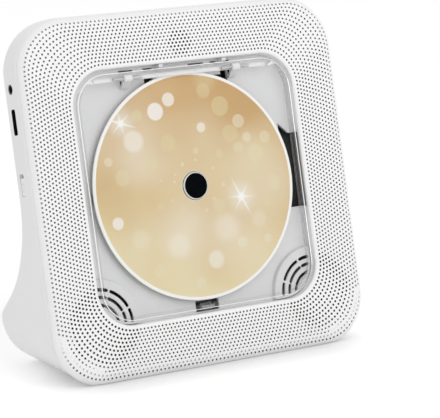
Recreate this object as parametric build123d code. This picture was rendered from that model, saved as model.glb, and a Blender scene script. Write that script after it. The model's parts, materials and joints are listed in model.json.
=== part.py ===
from build123d import *
import math
import os

# Wall-mounted CD player with a flared foot.
# Sizes are in millimetres.  Everything is built in the frame of the tilted front face:
# X to the right, Y up the face, Z out of the face, origin at the middle of the front face.
# "Depth" values are distances behind the front face.  At the end each piece is stood up:
# +Z up, front facing -Y, origin on the ground under the middle of the case.

# ---------------------------------------------------------------- driving dimensions
# Case
case_half = 95.0              # half of the square front face
face_tilt = 12.0              # the face leans back by this many degrees
face_height = 92.15           # middle of the front face above the ground
case_wall = 2.2
corner_radius = 28.0          # corners of the case, seen from the front
front_edge_radius = 6.5
back_edge_radius = 4.0
slab_depth = 20.4             # thickness of the upright part
flare_radius = 58.0           # concave sweep from the upright part to the foot
foot_slope = 43.0             # top of the foot falls this many degrees below level
foot_back = 49.0              # back of the foot behind the middle of the face, at ground level
foot_shoulder = 29.3          # height at which the foot's slope would meet its back
foot_edge_radius = 9.0
ground_gap = 0.5              # case bottom above the ground, on its rubber feet
seam_depth = 3.0              # front cover and rear shell part here
seam_gap = 0.15
rib_height = 2.2              # locating rib of the front cover inside the rear shell
rib_thickness = 1.2
fit_gap = 0.2                 # general assembly clearance

# Perforated front
hole_radius = 0.55
hole_rows = 13
inner_row_margin = 2.6        # first row of holes outside the window
outer_row_margin = 4.0        # last row of holes inside the edge of the case
inner_row_corner = 21.0
outer_row_corner = 24.4
inner_row_count = 240         # holes in the first row; each further row has row_step more
row_step = 4
receiver_margin = 19.0        # centre of the receiver's group of holes below the top of the case
receiver_zone = 7.0
grille_thickness = 1.0        # cover over the speakers and the receiver
grille_edge_margin = 1.8      # the thinner cover starts here, outside the window
grille_margin = 0.8

# Window, deck and lid
window_half = 66.0
window_corner = 19.2
window_edge_radius = 1.5
lip_thickness = 1.2
deck_margin = 10.0            # the deck reaches this far behind the front around the window
deck_corner = 27.0
deck_depth = 7.5              # top of the deck
deck_thickness = 1.8
lid_side_gap = 2.2            # between window and lid
lid_top_gap = 2.4
lid_recess = 0.4              # lid below the front face
lid_thickness = 1.2
skirt_thickness = 2.0
skirt_depth = 3.4             # lower edge of the lid's skirt
hinge_drop = 5.7              # hinge axis below the window's upper edge
hinge_depth = 2.0
barrel_radius = 1.3
barrel_half = 52.0
hinge_pin_radius = 0.6
hinge_pin_length = 17.0
hinge_bracket_x = 32.5
hinge_bracket_width = 4.2
hinge_eye_radius = 1.9
hinge_sweep = 2.2             # free radius around the eyes
hinge_foot_reach = 5.2        # foot of a bracket below the hinge axis
stop_rib_places = (-12.0, 26.3)
stop_rib_width = 2.4
stop_rib_gap = 0.5
hinge_slots = (               # slots of the deck beside the hinge
    (-34.4, -26.0), (-20.0, -14.6), (7.2, 16.5), (20.6, 24.3), (28.3, 32.4))
hinge_slot_low = 63.6
hinge_slot_high = 64.7

# Recesses in the deck
side_notch_low = -18.0
side_notch_high = 22.0
side_notch_inner = 57.5
side_notch_outer = 68.2       # the notch also cuts the foot of the window's wall
side_notch_corner = 5.9       # slanted extension of the notch at its upper end
side_notch_rise = 5.2         # height of the cut in the window's wall above the deck
top_notch_left = -20.0
top_notch_right = 30.2
top_notch_low = 49.0
top_notch_high = 59.3
tongue_left = -14.7           # tongue of the deck reaching into the notch behind the disc
tongue_right = 26.1
tongue_low = 57.5
cup_wall = 1.2
cup_depth = 15.0
pocket_half = 7.0
pocket_low = -65.4
pocket_high = -59.7
pocket_depth = 12.5
keeper_half = 4.0             # steel plate under the lid's tab
keeper_depth = 6.4
keeper_thickness = 0.8

# Disc and turntable
disc_radius = 60.0
disc_thickness = 1.2
disc_bore = 7.5
disc_depth = 3.6              # top of the disc
disc_rise = 0.6               # disc centre above the middle of the face
hub_radius = 7.3
hub_top_depth = 2.7
hub_chamfer = 0.6
pad_thickness = 0.4
pad_inner = 12.5
pad_outer = 14.8
turntable_radius = 15.2
turntable_thickness = 1.4
turntable_sleeve = 3.2
turntable_sleeve_length = 3.0
ball_radius = 1.0
ball_reach = 7.45             # outermost point of the clamp balls
spindle_radius = 1.0
spindle_fit = 0.03
turntable_opening = 17.0

# Mechanism
chassis_left = -74.0
chassis_right = 26.0
chassis_low = -42.0
chassis_high = 28.0
chassis_depth = 14.2
chassis_thickness = 1.2
chassis_corner = 4.0
chassis_hole_inset = 4.5
damper_radius = 4.5
damper_bulge = 2.6            # damper above and below the chassis plate
damper_groove = 0.9
post_radius = 2.0
post_bore = 0.9
spindle_motor_radius = 12.0
spindle_motor_height = 6.0
sled_start = 24.0             # distance of the lens from the spindle with the sled inside
sled_travel = 32.0
sled_half = 10.0
sled_block_half = 12.5
sled_top_depth = 9.7
sled_bottom_depth = 17.6
sled_window_margin = 1.0
lens_block_half = 2.9
lens_slot_gap = 0.4           # free space around the lens block in the deck
lens_block_top = 7.4
lens_radius = 2.4
lens_top_depth = 6.0
rod_offset = 16.0
rod_depth = 11.9
main_rod_radius = 1.5
side_rod_radius = 1.0
rod_fit = 0.05
rod_clip_length = 3.2
rod_clip_half = 2.6
rack_module = 0.8
rack_line = 15.0              # pitch line of the rack below the spindle
rack_thickness = 1.6
rack_depth = 15.9
rack_inner_end = 29.0
rack_outer_end = -9.0
gear_teeth = 20
gear_x = -30.0
wheel_module = 0.5
wheel_teeth = 40
pinion_teeth = 12
wheel_thickness = 1.6
gear_step = 0.3
gear_bore = 1.05
gear_axle = 1.0
gear_backlash = 0.1
pinion_angle = -50.0
sled_motor_radius = 7.5
sled_motor_height = 4.0
motor_shaft_radius = 0.75

# Speakers
speaker_x = 64.8
speaker_drop = 64.0           # speaker centres below the face centre
speaker_zone = 20.0
speaker_radius = 20.0
speaker_depth = 9.5
speaker_rim = 1.8
speaker_flange = 1.0
speaker_basket_depth = 8.0
speaker_back_radius = 12.5
speaker_back_thickness = 1.2
speaker_ear_reach = 22.6
speaker_ear_radius = 2.5
speaker_ear_angles = (-15.0, -72.0)
magnet_radius = 12.0
magnet_height = 7.0
coil_outer = 6.2
coil_wall = 0.4
coil_gap = 0.4
cone_thickness = 0.6
cone_radius = 16.0
cone_throat = 7.0
cone_depth = 5.6
coil_length = 5.8
dust_cap_radius = 3.2
surround_gap = 0.3
surround_thickness = 0.5
surround_rise = 0.8
speaker_clearance = 2.2
dome_base_radius = 25.0
dome_top_radius = 23.8
dome_top_depth = 5.2
dome_thickness = 1.0
vent_radii = (18.6, 14.7, 10.6)
vent_width = 1.8
vent_count = 8
vent_span = 37.0

# Fasteners
screw_shaft = 1.45
screw_pilot = 1.5
screw_head = 2.8
screw_head_height = 1.8
screw_through = 1.7
column_radius = 4.4
boss_radius = 3.4
boss_depth = 9.0
small_shaft = 0.95
small_pilot = 1.0
small_head = 1.9
small_head_height = 1.2
small_boss = 2.6
ear_boss = 2.2
small_length = 5.0
case_screw_top = 78.0
case_screw_side_x = 84.0
case_screw_side_y = -24.0
bottom_screw_x = 30.0
bottom_screw_back = -7.0      # behind the face centre, at ground level
deck_screw_line = 72.5
deck_screw_high = 40.0
deck_screw_low = -20.0
deck_screw_inner = 30.0

# Side wall controls
jack_y = 61.3
jack_depth = 11.1
jack_bore = 1.78
jack_nose = 2.6
jack_length = 12.0
usb_y = 44.55
usb_depth = 11.05
usb_length = 13.1
usb_height = 5.6
usb_shell = 0.4
usb_slot_height = 4.3
usb_tongue = 1.6
switch_y = 12.4
switch_depth = 11.55
switch_slot_length = 11.6
switch_slot_height = 4.9
switch_travel = 2.0
switch_gap = 0.2
side_board_depth = 14.2
side_board_thickness = 1.4
side_board_width = 12.5
side_board_low = 3.0
side_board_high = 69.0
side_board_inset = 2.6        # screws from the board's inner edge
side_board_screws = (24.0, 55.0)

# Buttons on the top
button_pitch = 18.0
button_length = 12.0
button_width = 6.0
button_depth = 10.4
button_gap = 0.25
button_sink = 0.1
button_flange = 0.8
button_flange_thickness = 1.0
button_travel = 0.5
button_board_drop = 8.0
board_thickness = 1.6
tact_size = 6.0
tact_height = 3.4
button_stem = 1.5

# Boards and inlet
main_board_half = 46.0
main_board_low = -70.0
main_board_high = -40.0
main_board_depth = 31.0
board_post_radius = 2.6
board_post_inset = 4.0
inlet_x = 24.0
inlet_height = 16.0
inlet_width = 9.0
inlet_thickness = 3.3
inlet_length = 8.0
inlet_wall = 0.5
receiver_board_half = 12.0
receiver_board_depth = 6.2
flex_width = 12.0
flex_thickness = 0.3
flex_x = -40.0

# Feet and wall hangers
rubber_foot_radius = 6.0
rubber_foot_sink = 1.0
rubber_foot_x = 62.0
rubber_foot_front = -4.0
rubber_foot_rear = 34.0
hump_half_width = 77.0
hump_half_height = 46.0
hump_centre = 4.0
hump_depth = 27.0
hump_corner = 14.0
hump_edge = 3.0
hanger_spacing = 100.0
hanger_height = 160.0         # entry holes above the ground
hanger_pad_half = 13.0
hanger_pad_low = 12.0
hanger_pad_high = 18.0
hanger_pad_corner = 4.0
hanger_pad_edge = 1.0
hanger_face_wall = 4.0
hanger_plate_thickness = 1.2
hanger_plate_half = 10.0
hanger_plate_low = 9.0
hanger_plate_high = 15.0
hanger_entry_radius = 4.5
hanger_slot_radius = 2.2
hanger_slot_rise = 8.0
hanger_head_radius = 5.5
hanger_screw_head = 1.8
hanger_screw_sink = 0.6
hanger_screws = ((-8.0, 12.5), (8.0, 12.5), (-8.0, -6.5), (8.0, -6.5))

# ---------------------------------------------------------------- frames
STAND = Location((0, 0, face_height), (90 - face_tilt, 0, 0))
OUT_OF_FACE = Vector(0, 0, 1)
LEVEL_BACK = Vector(0, math.sin(math.radians(face_tilt)), -math.cos(math.radians(face_tilt)))
FAR = 200.0
parts = {}


def lay(solid):
    """Bring a solid built standing on the ground into the frame of the face."""
    return STAND.inverse() * solid


# ---------------------------------------------------------------- basic shapes
def block(left, right, low, high, bottom, top):
    size = Box(right - left, high - low, top - bottom)
    return Pos((left + right) / 2, (low + high) / 2, (bottom + top) / 2) * size


def rod(x, y, radius, bottom, top):
    return Pos(x, y, (bottom + top) / 2) * Cylinder(radius, top - bottom)


def rod_along_x(left, right, y, z, radius):
    turned = Rot(0, 90, 0) * Cylinder(radius, right - left)
    return Pos((left + right) / 2, y, z) * turned


def slab(sketch, bottom, top):
    return extrude(Pos(0, 0, bottom) * sketch, amount=top - bottom)


def rounded_square(half, corner):
    return RectangleRounded(2 * half, 2 * half, corner)


def ring(x, y, outer, inner, bottom, top):
    return rod(x, y, outer, bottom, top) - rod(x, y, inner, bottom - 1, top + 1)


def turned_profile(points, x, y):
    """Revolve a closed outline of (radius, height) points about an axis out of the face."""
    outline = make_face(Plane.XZ * Polyline(*points, close=True))
    return Pos(x, y, 0) * revolve(outline, Axis.Z)


def screw(x, y, head_top, towards, head, head_height, shaft, length):
    """Round-headed screw; towards is +1 when the shaft points out of the face."""
    head_end = head_top + towards * head_height
    tip = head_end + towards * length
    solid = rod(x, y, head, min(head_top, head_end), max(head_top, head_end))
    solid += rod(x, y, shaft, min(head_end, tip), max(head_end, tip))
    slot = block(x - head, x + head, y - 0.3, y + 0.3, -0.4, 0.4)
    return solid - Pos(0, 0, head_top) * slot


# ---------------------------------------------------------------- case shape
def corner_of(first, second, inset):
    """Meeting point of two wall lines, each (angle of its outward normal, distance)."""
    a1, d1 = math.radians(first[0]), first[1] - inset
    a2, d2 = math.radians(second[0]), second[1] - inset
    scale = math.sin(a2 - a1)
    y = (d1 * math.sin(a2) - d2 * math.sin(a1)) / scale
    z = (d2 * math.cos(a1) - d1 * math.cos(a2)) / scale
    return (y, z + face_height)


def side_profile(inset):
    """Side view of the case, drawn standing: Y to the back, Z up."""
    slope_angle = 90 - foot_slope
    slope_reach = foot_back * math.cos(math.radians(slope_angle))
    slope_reach += (foot_shoulder - face_height) * math.sin(math.radians(slope_angle))
    front = (180 - face_tilt, 0.0)
    top = (90 - face_tilt, case_half)
    back = (-face_tilt, slab_depth)
    slope = (slope_angle, slope_reach)
    heel = (0.0, foot_back)
    bottom = (-90.0, face_height - ground_gap)
    walls = [front, top, back, slope, heel, bottom]
    points = [corner_of(walls[i - 1], walls[i], inset) for i in range(len(walls))]
    radii = [0, 0, 0, flare_radius + inset, foot_edge_radius - inset, 0]
    return make_face(FilletPolyline(*points, radius=radii, close=True))


def is_back_edge(edge, half, inset):
    middle = edge.position_at(0.5)
    direction = edge.tangent_at(0.5)
    if abs(direction.dot(OUT_OF_FACE)) > 0.999 or abs(direction.dot(LEVEL_BACK)) > 0.999:
        return False
    if middle.Z > -inset - 0.1:
        return False
    if abs(middle.X) > 1.0:
        return True
    standing = STAND * Location(middle)
    at_top = abs(middle.Y - half) < 0.1
    at_bottom = abs(standing.position.Z - ground_gap - inset) < 0.1
    return at_top or at_bottom


def case_form(inset, rounded=True):
    """The closed outer form of the case, every wall moved inwards by inset."""
    half = case_half - inset
    corner = corner_radius - inset
    body = lay(extrude(Plane.YZ * side_profile(inset), amount=half, both=True))
    face_outline = Pos(0, (half - FAR) / 2) * Rectangle(2 * half, half + FAR)
    face_outline = fillet(face_outline.vertices().sort_by(Axis.Y)[-2:], corner)
    body &= slab(face_outline, -FAR, FAR)
    floor = ground_gap + inset
    level_outline = Pos(0, floor + FAR / 2) * Rectangle(2 * half, FAR)
    level_outline = fillet(level_outline.vertices().sort_by(Axis.Y)[:2], corner)
    body &= lay(extrude(Plane.XZ * level_outline, amount=FAR, both=True))
    if rounded:
        front_edges = body.edges().filter_by_position(Axis.Z, -inset - 0.01, -inset + 0.01)
        body = fillet(front_edges, front_edge_radius - inset)
        back_edges = [e for e in body.edges() if is_back_edge(e, half, inset)]
        body = fillet(back_edges, back_edge_radius - inset)
    return body


def back_hump(inset):
    """Raised field on the back that makes room for the mechanism."""
    width = 2 * (hump_half_width - inset)
    height = 2 * (hump_half_height - inset)
    outline = Pos(0, hump_centre) * RectangleRounded(width, height, hump_corner - inset)
    solid = slab(outline, -hump_depth + inset, -slab_depth + case_wall + 1)
    rim = solid.edges().filter_by_position(Axis.Z, -hump_depth, -hump_depth + inset + 0.01)
    return fillet(rim, hump_edge - inset + 0.5)


def pad_blocks(inset):
    """Two upright blocks on the back whose faces stand level with the back of the foot."""
    pads = []
    low = hanger_height - hanger_pad_low + inset
    high = hanger_height + hanger_pad_high - inset
    half = hanger_pad_half - inset
    face = foot_back - (hanger_face_wall if inset else 0)
    for side in (-1, 1):
        x = side * hanger_spacing / 2
        pad = block(x - half, x + half, 20.0, face, low, high)
        pad = fillet(pad.edges().filter_by(Axis.Y), hanger_pad_corner - inset)
        if not inset:
            pad = fillet(pad.edges().group_by(Axis.Y)[-1], hanger_pad_edge)
        pads.append(lay(pad))
    return pads


# ---------------------------------------------------------------- perforation
def row_point(half, corner, distance):
    """Point on a rounded square, by distance along it from the middle of its right side."""
    straight = half - corner
    quarter = 2 * straight + math.pi * corner / 2
    turn = int(distance // quarter)
    along = distance - turn * quarter
    if along <= straight:
        x, y = half, along
    elif along <= straight + math.pi * corner / 2:
        angle = (along - straight) / corner
        x = straight + corner * math.cos(angle)
        y = straight + corner * math.sin(angle)
    else:
        x = straight - (along - straight - math.pi * corner / 2)
        y = half
    for _ in range(turn % 4):
        x, y = -y, x
    return x, y


def hole_points():
    """Centres of all holes: rows of evenly spaced, staggered holes about the window."""
    points = []
    for row in range(hole_rows):
        share = row / (hole_rows - 1)
        half = inner_row_half + share * (outer_row_half - inner_row_half)
        corner = inner_row_corner + share * (outer_row_corner - inner_row_corner)
        count = inner_row_count + row_step * row
        length = 8 * (half - corner) + 2 * math.pi * corner
        for i in range(count):
            points.append(row_point(half, corner, (i + 0.5 * (row % 2)) * length / count))
    return points


def is_open_hole(x, y):
    """Only the holes over the speakers and the receiver go through."""
    if math.hypot(abs(x) - speaker_x, y + speaker_drop) < speaker_zone:
        return True
    return math.hypot(x, y - receiver_height) < receiver_zone


# ---------------------------------------------------------------- shared places
def mirrored(x, *heights):
    return [(side * x, y) for y in heights for side in (-1, 1)]


inner_row_half = window_half + inner_row_margin
outer_row_half = case_half - outer_row_margin
receiver_height = case_half - receiver_margin
grille_edge_half = window_half + grille_edge_margin
deck_half = window_half + deck_margin
case_screw_points = mirrored(case_screw_top, case_screw_top)
case_screw_points += mirrored(case_screw_side_x, case_screw_side_y)
deck_screw_points = mirrored(deck_screw_line, deck_screw_high, deck_screw_low)
deck_screw_points += mirrored(deck_screw_inner, deck_screw_line, -deck_screw_line)
damper_x = (chassis_left + chassis_hole_inset, chassis_right - chassis_hole_inset)
damper_y = (chassis_low + chassis_hole_inset, chassis_high - chassis_hole_inset)
damper_points = [(x, y) for x in damper_x for y in damper_y]
hinge_y = window_half - hinge_drop
grille_edge_corner = window_corner + grille_edge_half - window_half
lid_half = window_half - lid_side_gap
lid_corner = window_corner - lid_side_gap
lid_under = lid_recess + lid_thickness
deck_under = deck_depth + deck_thickness
disc_under = disc_depth + disc_thickness
chassis_under = chassis_depth + chassis_thickness
sled_x = -sled_start
side_inner = -case_half + case_wall
side_board_x = side_inner + side_board_width - side_board_inset
button_places = [button_pitch * i for i in range(-2, 3)]
button_board_low = case_half - button_board_drop - board_thickness
button_board_screws = (-1.5 * button_pitch, 1.5 * button_pitch)


def ear_points(side):
    """Screw ears of a speaker, on the outer side of its corner."""
    points = []
    for angle in speaker_ear_angles:
        x = speaker_x + speaker_ear_reach * math.cos(math.radians(angle))
        y = -speaker_drop + speaker_ear_reach * math.sin(math.radians(angle))
        points.append((side * x, y))
    return points


receiver_screw_points = mirrored(receiver_board_half - 2.5, receiver_height + 4.5)


# ---------------------------------------------------------------- case parts
outer = case_form(0.0) + back_hump(0.0)
cavity = case_form(case_wall) + back_hump(case_wall)
shell = outer - cavity
window_prism = slab(rounded_square(window_half, window_corner), -deck_depth - 1, 1)


def is_window_edge(edge):
    middle = edge.position_at(0.5)
    return max(abs(middle.X), abs(middle.Y)) < window_half + 0.1


def grille_recesses():
    """The cover is thinner from behind over the speakers and the receiver."""
    inside = slab(rounded_square(grille_edge_half, grille_edge_corner), -FAR, FAR)
    recesses = []
    bottom = -case_wall - 0.2
    for side in (-1, 1):
        recess = rod(side * speaker_x, -speaker_drop, speaker_radius + fit_gap, bottom, -grille_thickness)
        recesses.append(recess - inside)
    reach = receiver_zone + grille_margin
    recesses.append(rod(0, receiver_height, reach, bottom, -grille_thickness) - inside)
    return recesses


def front_cover():
    cover = shell & block(-FAR, FAR, -FAR, FAR, -seam_depth, FAR)
    lip_half = window_half + lip_thickness
    lip_corner = window_corner + lip_thickness
    cover += slab(rounded_square(lip_half, lip_corner), -deck_depth + 0.1, -1.0)
    rib_start = case_wall + fit_gap
    rib_inside = case_form(rib_start + rib_thickness, rounded=False)
    rib = case_form(rib_start, rounded=False) - rib_inside - Pos(0, 0, 2 * rib_thickness) * rib_inside
    rib &= block(-FAR, FAR, -FAR, FAR, -seam_depth - rib_height, -case_wall)
    cover += rib & cavity
    posts = [rod(x, y, boss_radius, -boss_depth, -1.0) for x, y in case_screw_points]
    posts += [rod(x, y, small_boss, -deck_depth, -1.0) for x, y in deck_screw_points]
    for side in (-1, 1):
        posts += [rod(x, y, ear_boss, -speaker_depth, -1.0) for x, y in ear_points(side)]
    posts += [rod(x, y, 2.0, -receiver_board_depth, -1.0) for x, y in receiver_screw_points]
    for side in (-1, 1):
        x = side * bottom_screw_x
        tab = lay(block(x - 5, x + 5, -25, bottom_screw_back + 5, ground_gap + case_wall + fit_gap, 12))
        posts.append(tab & cavity)
    for post in posts:
        cover += post
    cover -= window_prism
    pilots = [rod(x, y, screw_pilot, -boss_depth - 1, -3.5) for x, y in case_screw_points]
    pilots += [rod(x, y, small_pilot, -deck_depth - 1, -2.5) for x, y in deck_screw_points]
    for side in (-1, 1):
        pilots += [rod(x, y, small_pilot, -speaker_depth - 1, -4.5) for x, y in ear_points(side)]
        bottom = lay(rod(side * bottom_screw_x, bottom_screw_back, screw_pilot, 0, 10.5))
        pilots.append(bottom)
    pilots += [rod(x, y, small_pilot, -receiver_board_depth - 1, -2.5) for x, y in receiver_screw_points]
    lip_prism = slab(rounded_square(lip_half, lip_corner), -FAR, FAR)
    for side in (-1, 1):
        reach = speaker_radius + fit_gap
        pilots.append(rod(side * speaker_x, -speaker_drop, reach, -FAR, -case_wall) - lip_prism)
    notch_top = -deck_depth + side_notch_rise
    pilots.append(block(window_half - 1, lip_half + 0.5, side_notch_low, side_notch_high, -FAR, notch_top))
    cover -= pilots
    cover -= grille_recesses()
    rim = [e for e in cover.edges().filter_by_position(Axis.Z, -0.01, 0.01) if is_window_edge(e)]
    cover = fillet(rim, window_edge_radius)
    drills = [rod(x, y, hole_radius, -case_wall - 4, 1) for x, y in hole_points() if is_open_hole(x, y)]
    return cover - drills


def case_column(x, y):
    """Column of the rear shell with a screw hole and a wide bore for the head."""
    seat = -boss_depth - 2.6
    solid = rod(x, y, column_radius, -FAR, -boss_depth - 0.1) & outer
    bore = rod(x, y, screw_through, seat - 1, 0)
    return solid, bore + rod(x, y, screw_head + fit_gap, -FAR, seat)


def rear_shell():
    body = shell & block(-FAR, FAR, -FAR, FAR, -FAR, -seam_depth - seam_gap)
    adds, cuts = [], []
    for x, y in case_screw_points:
        solid, bore = case_column(x, y)
        adds.append(solid)
        cuts.append(bore)
    for x in (-main_board_half + board_post_inset, main_board_half - board_post_inset):
        for y in (main_board_low + board_post_inset, main_board_high - board_post_inset):
            top = -main_board_depth - board_thickness
            adds.append(rod(x, y, board_post_radius, -FAR, top) & outer)
            cuts.append(rod(x, y, small_pilot, top - 4, top + 1))
    for y in side_board_screws:
        top = -side_board_depth - side_board_thickness
        adds.append(rod(side_board_x, y, board_post_radius, -slab_depth + 1, top))
        cuts.append(rod(side_board_x, y, small_pilot, top - 1.8, top + 1))
    for x in button_board_screws:
        low = button_board_low - 6
        adds.append(block(x - 2.5, x + 2.5, low, button_board_low, -slab_depth + 1, -button_depth + 3))
        cuts.append(Pos(x, button_board_low, -button_depth) * Rot(90, 0, 0) * Cylinder(small_pilot, 9))
    for side in (-1, 1):
        x = side * bottom_screw_x
        cuts.append(lay(rod(x, bottom_screw_back, screw_through, 0, 5)))
        cuts.append(lay(rod(x, bottom_screw_back, screw_head + fit_gap, 0, ground_gap + 1.2)))
        for y in (rubber_foot_front, rubber_foot_rear):
            sink = ground_gap + rubber_foot_sink
            cuts.append(lay(rod(side * rubber_foot_x, y, rubber_foot_radius + 0.1, 0, sink)))
    cuts += side_openings()
    cuts += [button_hole(x) for x in button_places]
    cuts.append(inlet_opening())
    for solid in adds:
        body += solid
    return body - cuts


def side_openings():
    left = -case_half - 1
    right = -case_half + case_wall + 1
    jack = rod_along_x(left, right, jack_y, -jack_depth, jack_nose + 0.05)
    usb = side_slot(left, right, usb_y, usb_depth, usb_length + 0.2, usb_slot_height)
    switch = side_slot(left, right, switch_y, switch_depth, switch_slot_length, switch_slot_height)
    return [jack, usb, switch]


def side_slot(left, right, y, depth, length, height, corner=1.2):
    """Rounded bar across the side wall, long up the face."""
    outline = Plane.YZ * Pos(y, -depth) * RectangleRounded(length, height, corner)
    return Pos(left, 0, 0) * extrude(outline, amount=right - left)


def top_slot(x, low, high, length, width):
    """Rounded bar through the top wall."""
    outline = Plane.XZ * Pos(x, -button_depth) * RectangleRounded(length, width, width / 2 - 0.01)
    return Pos(0, high, 0) * extrude(outline, amount=high - low)


def button_hole(x):
    length = button_length + 2 * button_gap
    return top_slot(x, case_half - case_wall - 1, case_half + 1, length, button_width + 2 * button_gap)


def hanger_outline(grow):
    """Keyhole seen from behind: round entry with a narrow slot rising from it."""
    entry = Circle(hanger_entry_radius + grow)
    rise = Pos(0, hanger_slot_rise / 2) * Rectangle(2 * (hanger_slot_radius + grow), hanger_slot_rise)
    end = Pos(0, hanger_slot_rise) * Circle(hanger_slot_radius + grow)
    return entry + rise + end


def hanger_place(side, sketch, front, back):
    placed = Plane.XZ * Pos(side * hanger_spacing / 2, hanger_height) * sketch
    return lay(Pos(0, back, 0) * extrude(placed, amount=back - front))


def hanger_plate_outline():
    height = hanger_plate_low + hanger_plate_high
    middle = (hanger_plate_high - hanger_plate_low) / 2
    return Pos(0, middle) * RectangleRounded(2 * hanger_plate_half, height, 2.0)


def hanger_pads():
    """Hollow spacers between the leaning back and the wall, each with a sunk seat for its plate."""
    seat = foot_back - hanger_plate_thickness
    pads = []
    for side, body, hollow in zip((-1, 1), pad_blocks(0.0), pad_blocks(case_wall)):
        pad = body - outer - hollow
        pad -= hanger_place(side, hanger_plate_outline(), seat, foot_back + 1)
        room = hanger_outline(hanger_head_radius - hanger_slot_radius)
        pad -= hanger_place(side, room, seat - hanger_face_wall, foot_back)
        for x, y in hanger_screws:
            hole = Pos(x, y) * Circle(small_pilot)
            pad -= hanger_place(side, hole, seat - hanger_face_wall, foot_back)
        pads.append(pad)
    return Compound(children=pads)


def hanger_plates():
    plates = []
    seat = foot_back - hanger_plate_thickness
    for side in (-1, 1):
        outline = hanger_plate_outline() - hanger_outline(0)
        outline -= [Pos(x, y) * Circle(small_pilot) for x, y in hanger_screws]
        plate = hanger_place(side, outline, seat, foot_back)
        for x, y in hanger_screws:
            recess = Pos(x, y) * Circle(hanger_screw_head + 0.1)
            plate -= hanger_place(side, recess, foot_back - hanger_screw_sink, foot_back)
        plates.append(plate)
    return Compound(children=plates)


def inlet_opening():
    outline = Plane.XZ * Pos(inlet_x, inlet_height)
    outline *= RectangleRounded(inlet_width + 0.2, inlet_thickness + 0.2, inlet_thickness / 2)
    return lay(Pos(0, foot_back + 1, 0) * extrude(outline, amount=case_wall + 3))


def power_inlet():
    """Small flat power socket in the back of the foot."""
    flat = Plane.XZ * Pos(inlet_x, inlet_height)
    shell_outline = RectangleRounded(inlet_width, inlet_thickness, inlet_thickness / 2 - 0.01)
    inner = RectangleRounded(inlet_width - 2 * inlet_wall, inlet_thickness - 2 * inlet_wall,
                             inlet_thickness / 2 - inlet_wall - 0.01)
    tongue = Rectangle(inlet_width - 3.2, 0.7)
    mouth = foot_back - 0.4
    solid = Pos(0, mouth, 0) * extrude(flat * shell_outline, amount=inlet_length)
    solid -= Pos(0, mouth, 0) * extrude(flat * inner, amount=inlet_length - 1)
    solid += Pos(0, mouth - 1.2, 0) * extrude(flat * tongue, amount=inlet_length - 1.5)
    board = block(inlet_x - 8, inlet_x + 8, foot_back - case_wall - 8, foot_back - case_wall - fit_gap,
                  inlet_height - inlet_thickness / 2 - 1.2, inlet_height - inlet_thickness / 2)
    return lay(solid + board)


def rubber_feet():
    feet = []
    for side in (-1, 1):
        for y in (rubber_foot_front, rubber_foot_rear):
            foot = rod(side * rubber_foot_x, y, rubber_foot_radius, 0, ground_gap + rubber_foot_sink)
            foot = fillet(foot.edges().sort_by(Axis.Z)[:1], 0.4)
            feet.append(lay(foot))
    return Compound(children=feet)


def case_screws():
    head_top = -boss_depth - 2.6 - screw_head_height
    screws = []
    for x, y in case_screw_points:
        screws.append(screw(x, y, head_top, 1, screw_head, screw_head_height, screw_shaft, 7.0))
    for side in (-1, 1):
        x = side * bottom_screw_x
        solid = screw(x, bottom_screw_back, ground_gap, 1, screw_head, 1.1, screw_shaft, 8.0)
        screws.append(lay(solid))
    return Compound(children=screws)


# ---------------------------------------------------------------- deck
def vent_slots():
    """Broken rings of slots over a speaker."""
    slots = []
    for radius in vent_radii:
        for i in range(vent_count):
            start = i * 360 / vent_count - vent_span / 2
            path = CenterArc((0, 0), radius, start, vent_span)
            slots.append(SlotArc(path, vent_width))
    return slots


def side_notch_slant():
    high = side_notch_high + side_notch_corner
    corner = side_notch_inner + side_notch_corner
    return make_face(Polyline((side_notch_inner, side_notch_high), (corner, side_notch_high),
                              (side_notch_inner, high), close=True))


def deck():
    plate = slab(rounded_square(deck_half, deck_corner), -deck_under, -deck_depth)
    inside = rounded_square(window_half - fit_gap - 0.2, window_corner - fit_gap - 0.2)
    mouth = speaker_radius + speaker_clearance
    for side in (-1, 1):
        x = side * speaker_x
        plate -= rod(x, -speaker_drop, mouth, -FAR, FAR)
        dome = Pos(x, -speaker_drop, -(dome_top_depth + deck_under) / 2)
        dome *= Cone(dome_base_radius, dome_top_radius, deck_under - dome_top_depth)
        dome &= slab(inside, -deck_under, 0)
        dome -= rod(x, -speaker_drop, mouth, -FAR, -dome_top_depth - dome_thickness)
        rim_half = window_half - fit_gap - 1.4
        allowed = slab(rounded_square(rim_half, window_corner - 1.2), -FAR, 0)
        for slot in vent_slots():
            cutter = slab(Pos(x, -speaker_drop) * slot, -deck_under, 0) & allowed
            if cutter:
                dome -= cutter
        plate += dome
    cuts = [
        block(side_notch_inner, side_notch_outer, side_notch_low, side_notch_high, -FAR, 0),
        slab(side_notch_slant(), -FAR, 0),
        block(top_notch_left, top_notch_right, top_notch_low, tongue_low, -FAR, 0),
        block(top_notch_left, tongue_left, top_notch_low, top_notch_high, -FAR, 0),
        block(tongue_right, top_notch_right, top_notch_low, top_notch_high, -FAR, 0),
        block(-pocket_half, pocket_half, pocket_low, pocket_high, -FAR, 0),
        rod(0, disc_rise, turntable_opening, -FAR, 0),
    ]
    slot_end = sled_x - sled_travel - lens_block_half - lens_slot_gap
    slot_half = lens_block_half + lens_slot_gap
    cuts.append(block(slot_end, 0, disc_rise - slot_half, disc_rise + slot_half, -FAR, 0))
    cuts += [rod(x, y, small_pilot + 0.2, -FAR, 0) for x, y in deck_screw_points]
    cuts += [block(left, right, hinge_slot_low, hinge_slot_high, -FAR, 0) for left, right in hinge_slots]
    plate -= cuts
    for x, y in damper_points:
        y += disc_rise
        plate += rod(x, y, post_radius, -chassis_under - damper_bulge - 0.1, -deck_under + 0.5)
        plate -= rod(x, y, post_bore, -FAR, -deck_under - 1)
    reach = stop_rib_width / 2
    low = window_half - lid_top_gap + stop_rib_gap
    for x in stop_rib_places:
        plate += block(x - reach, x + reach, low, window_half - fit_gap, -deck_depth - 0.5, -hinge_depth)
    return plate


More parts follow.
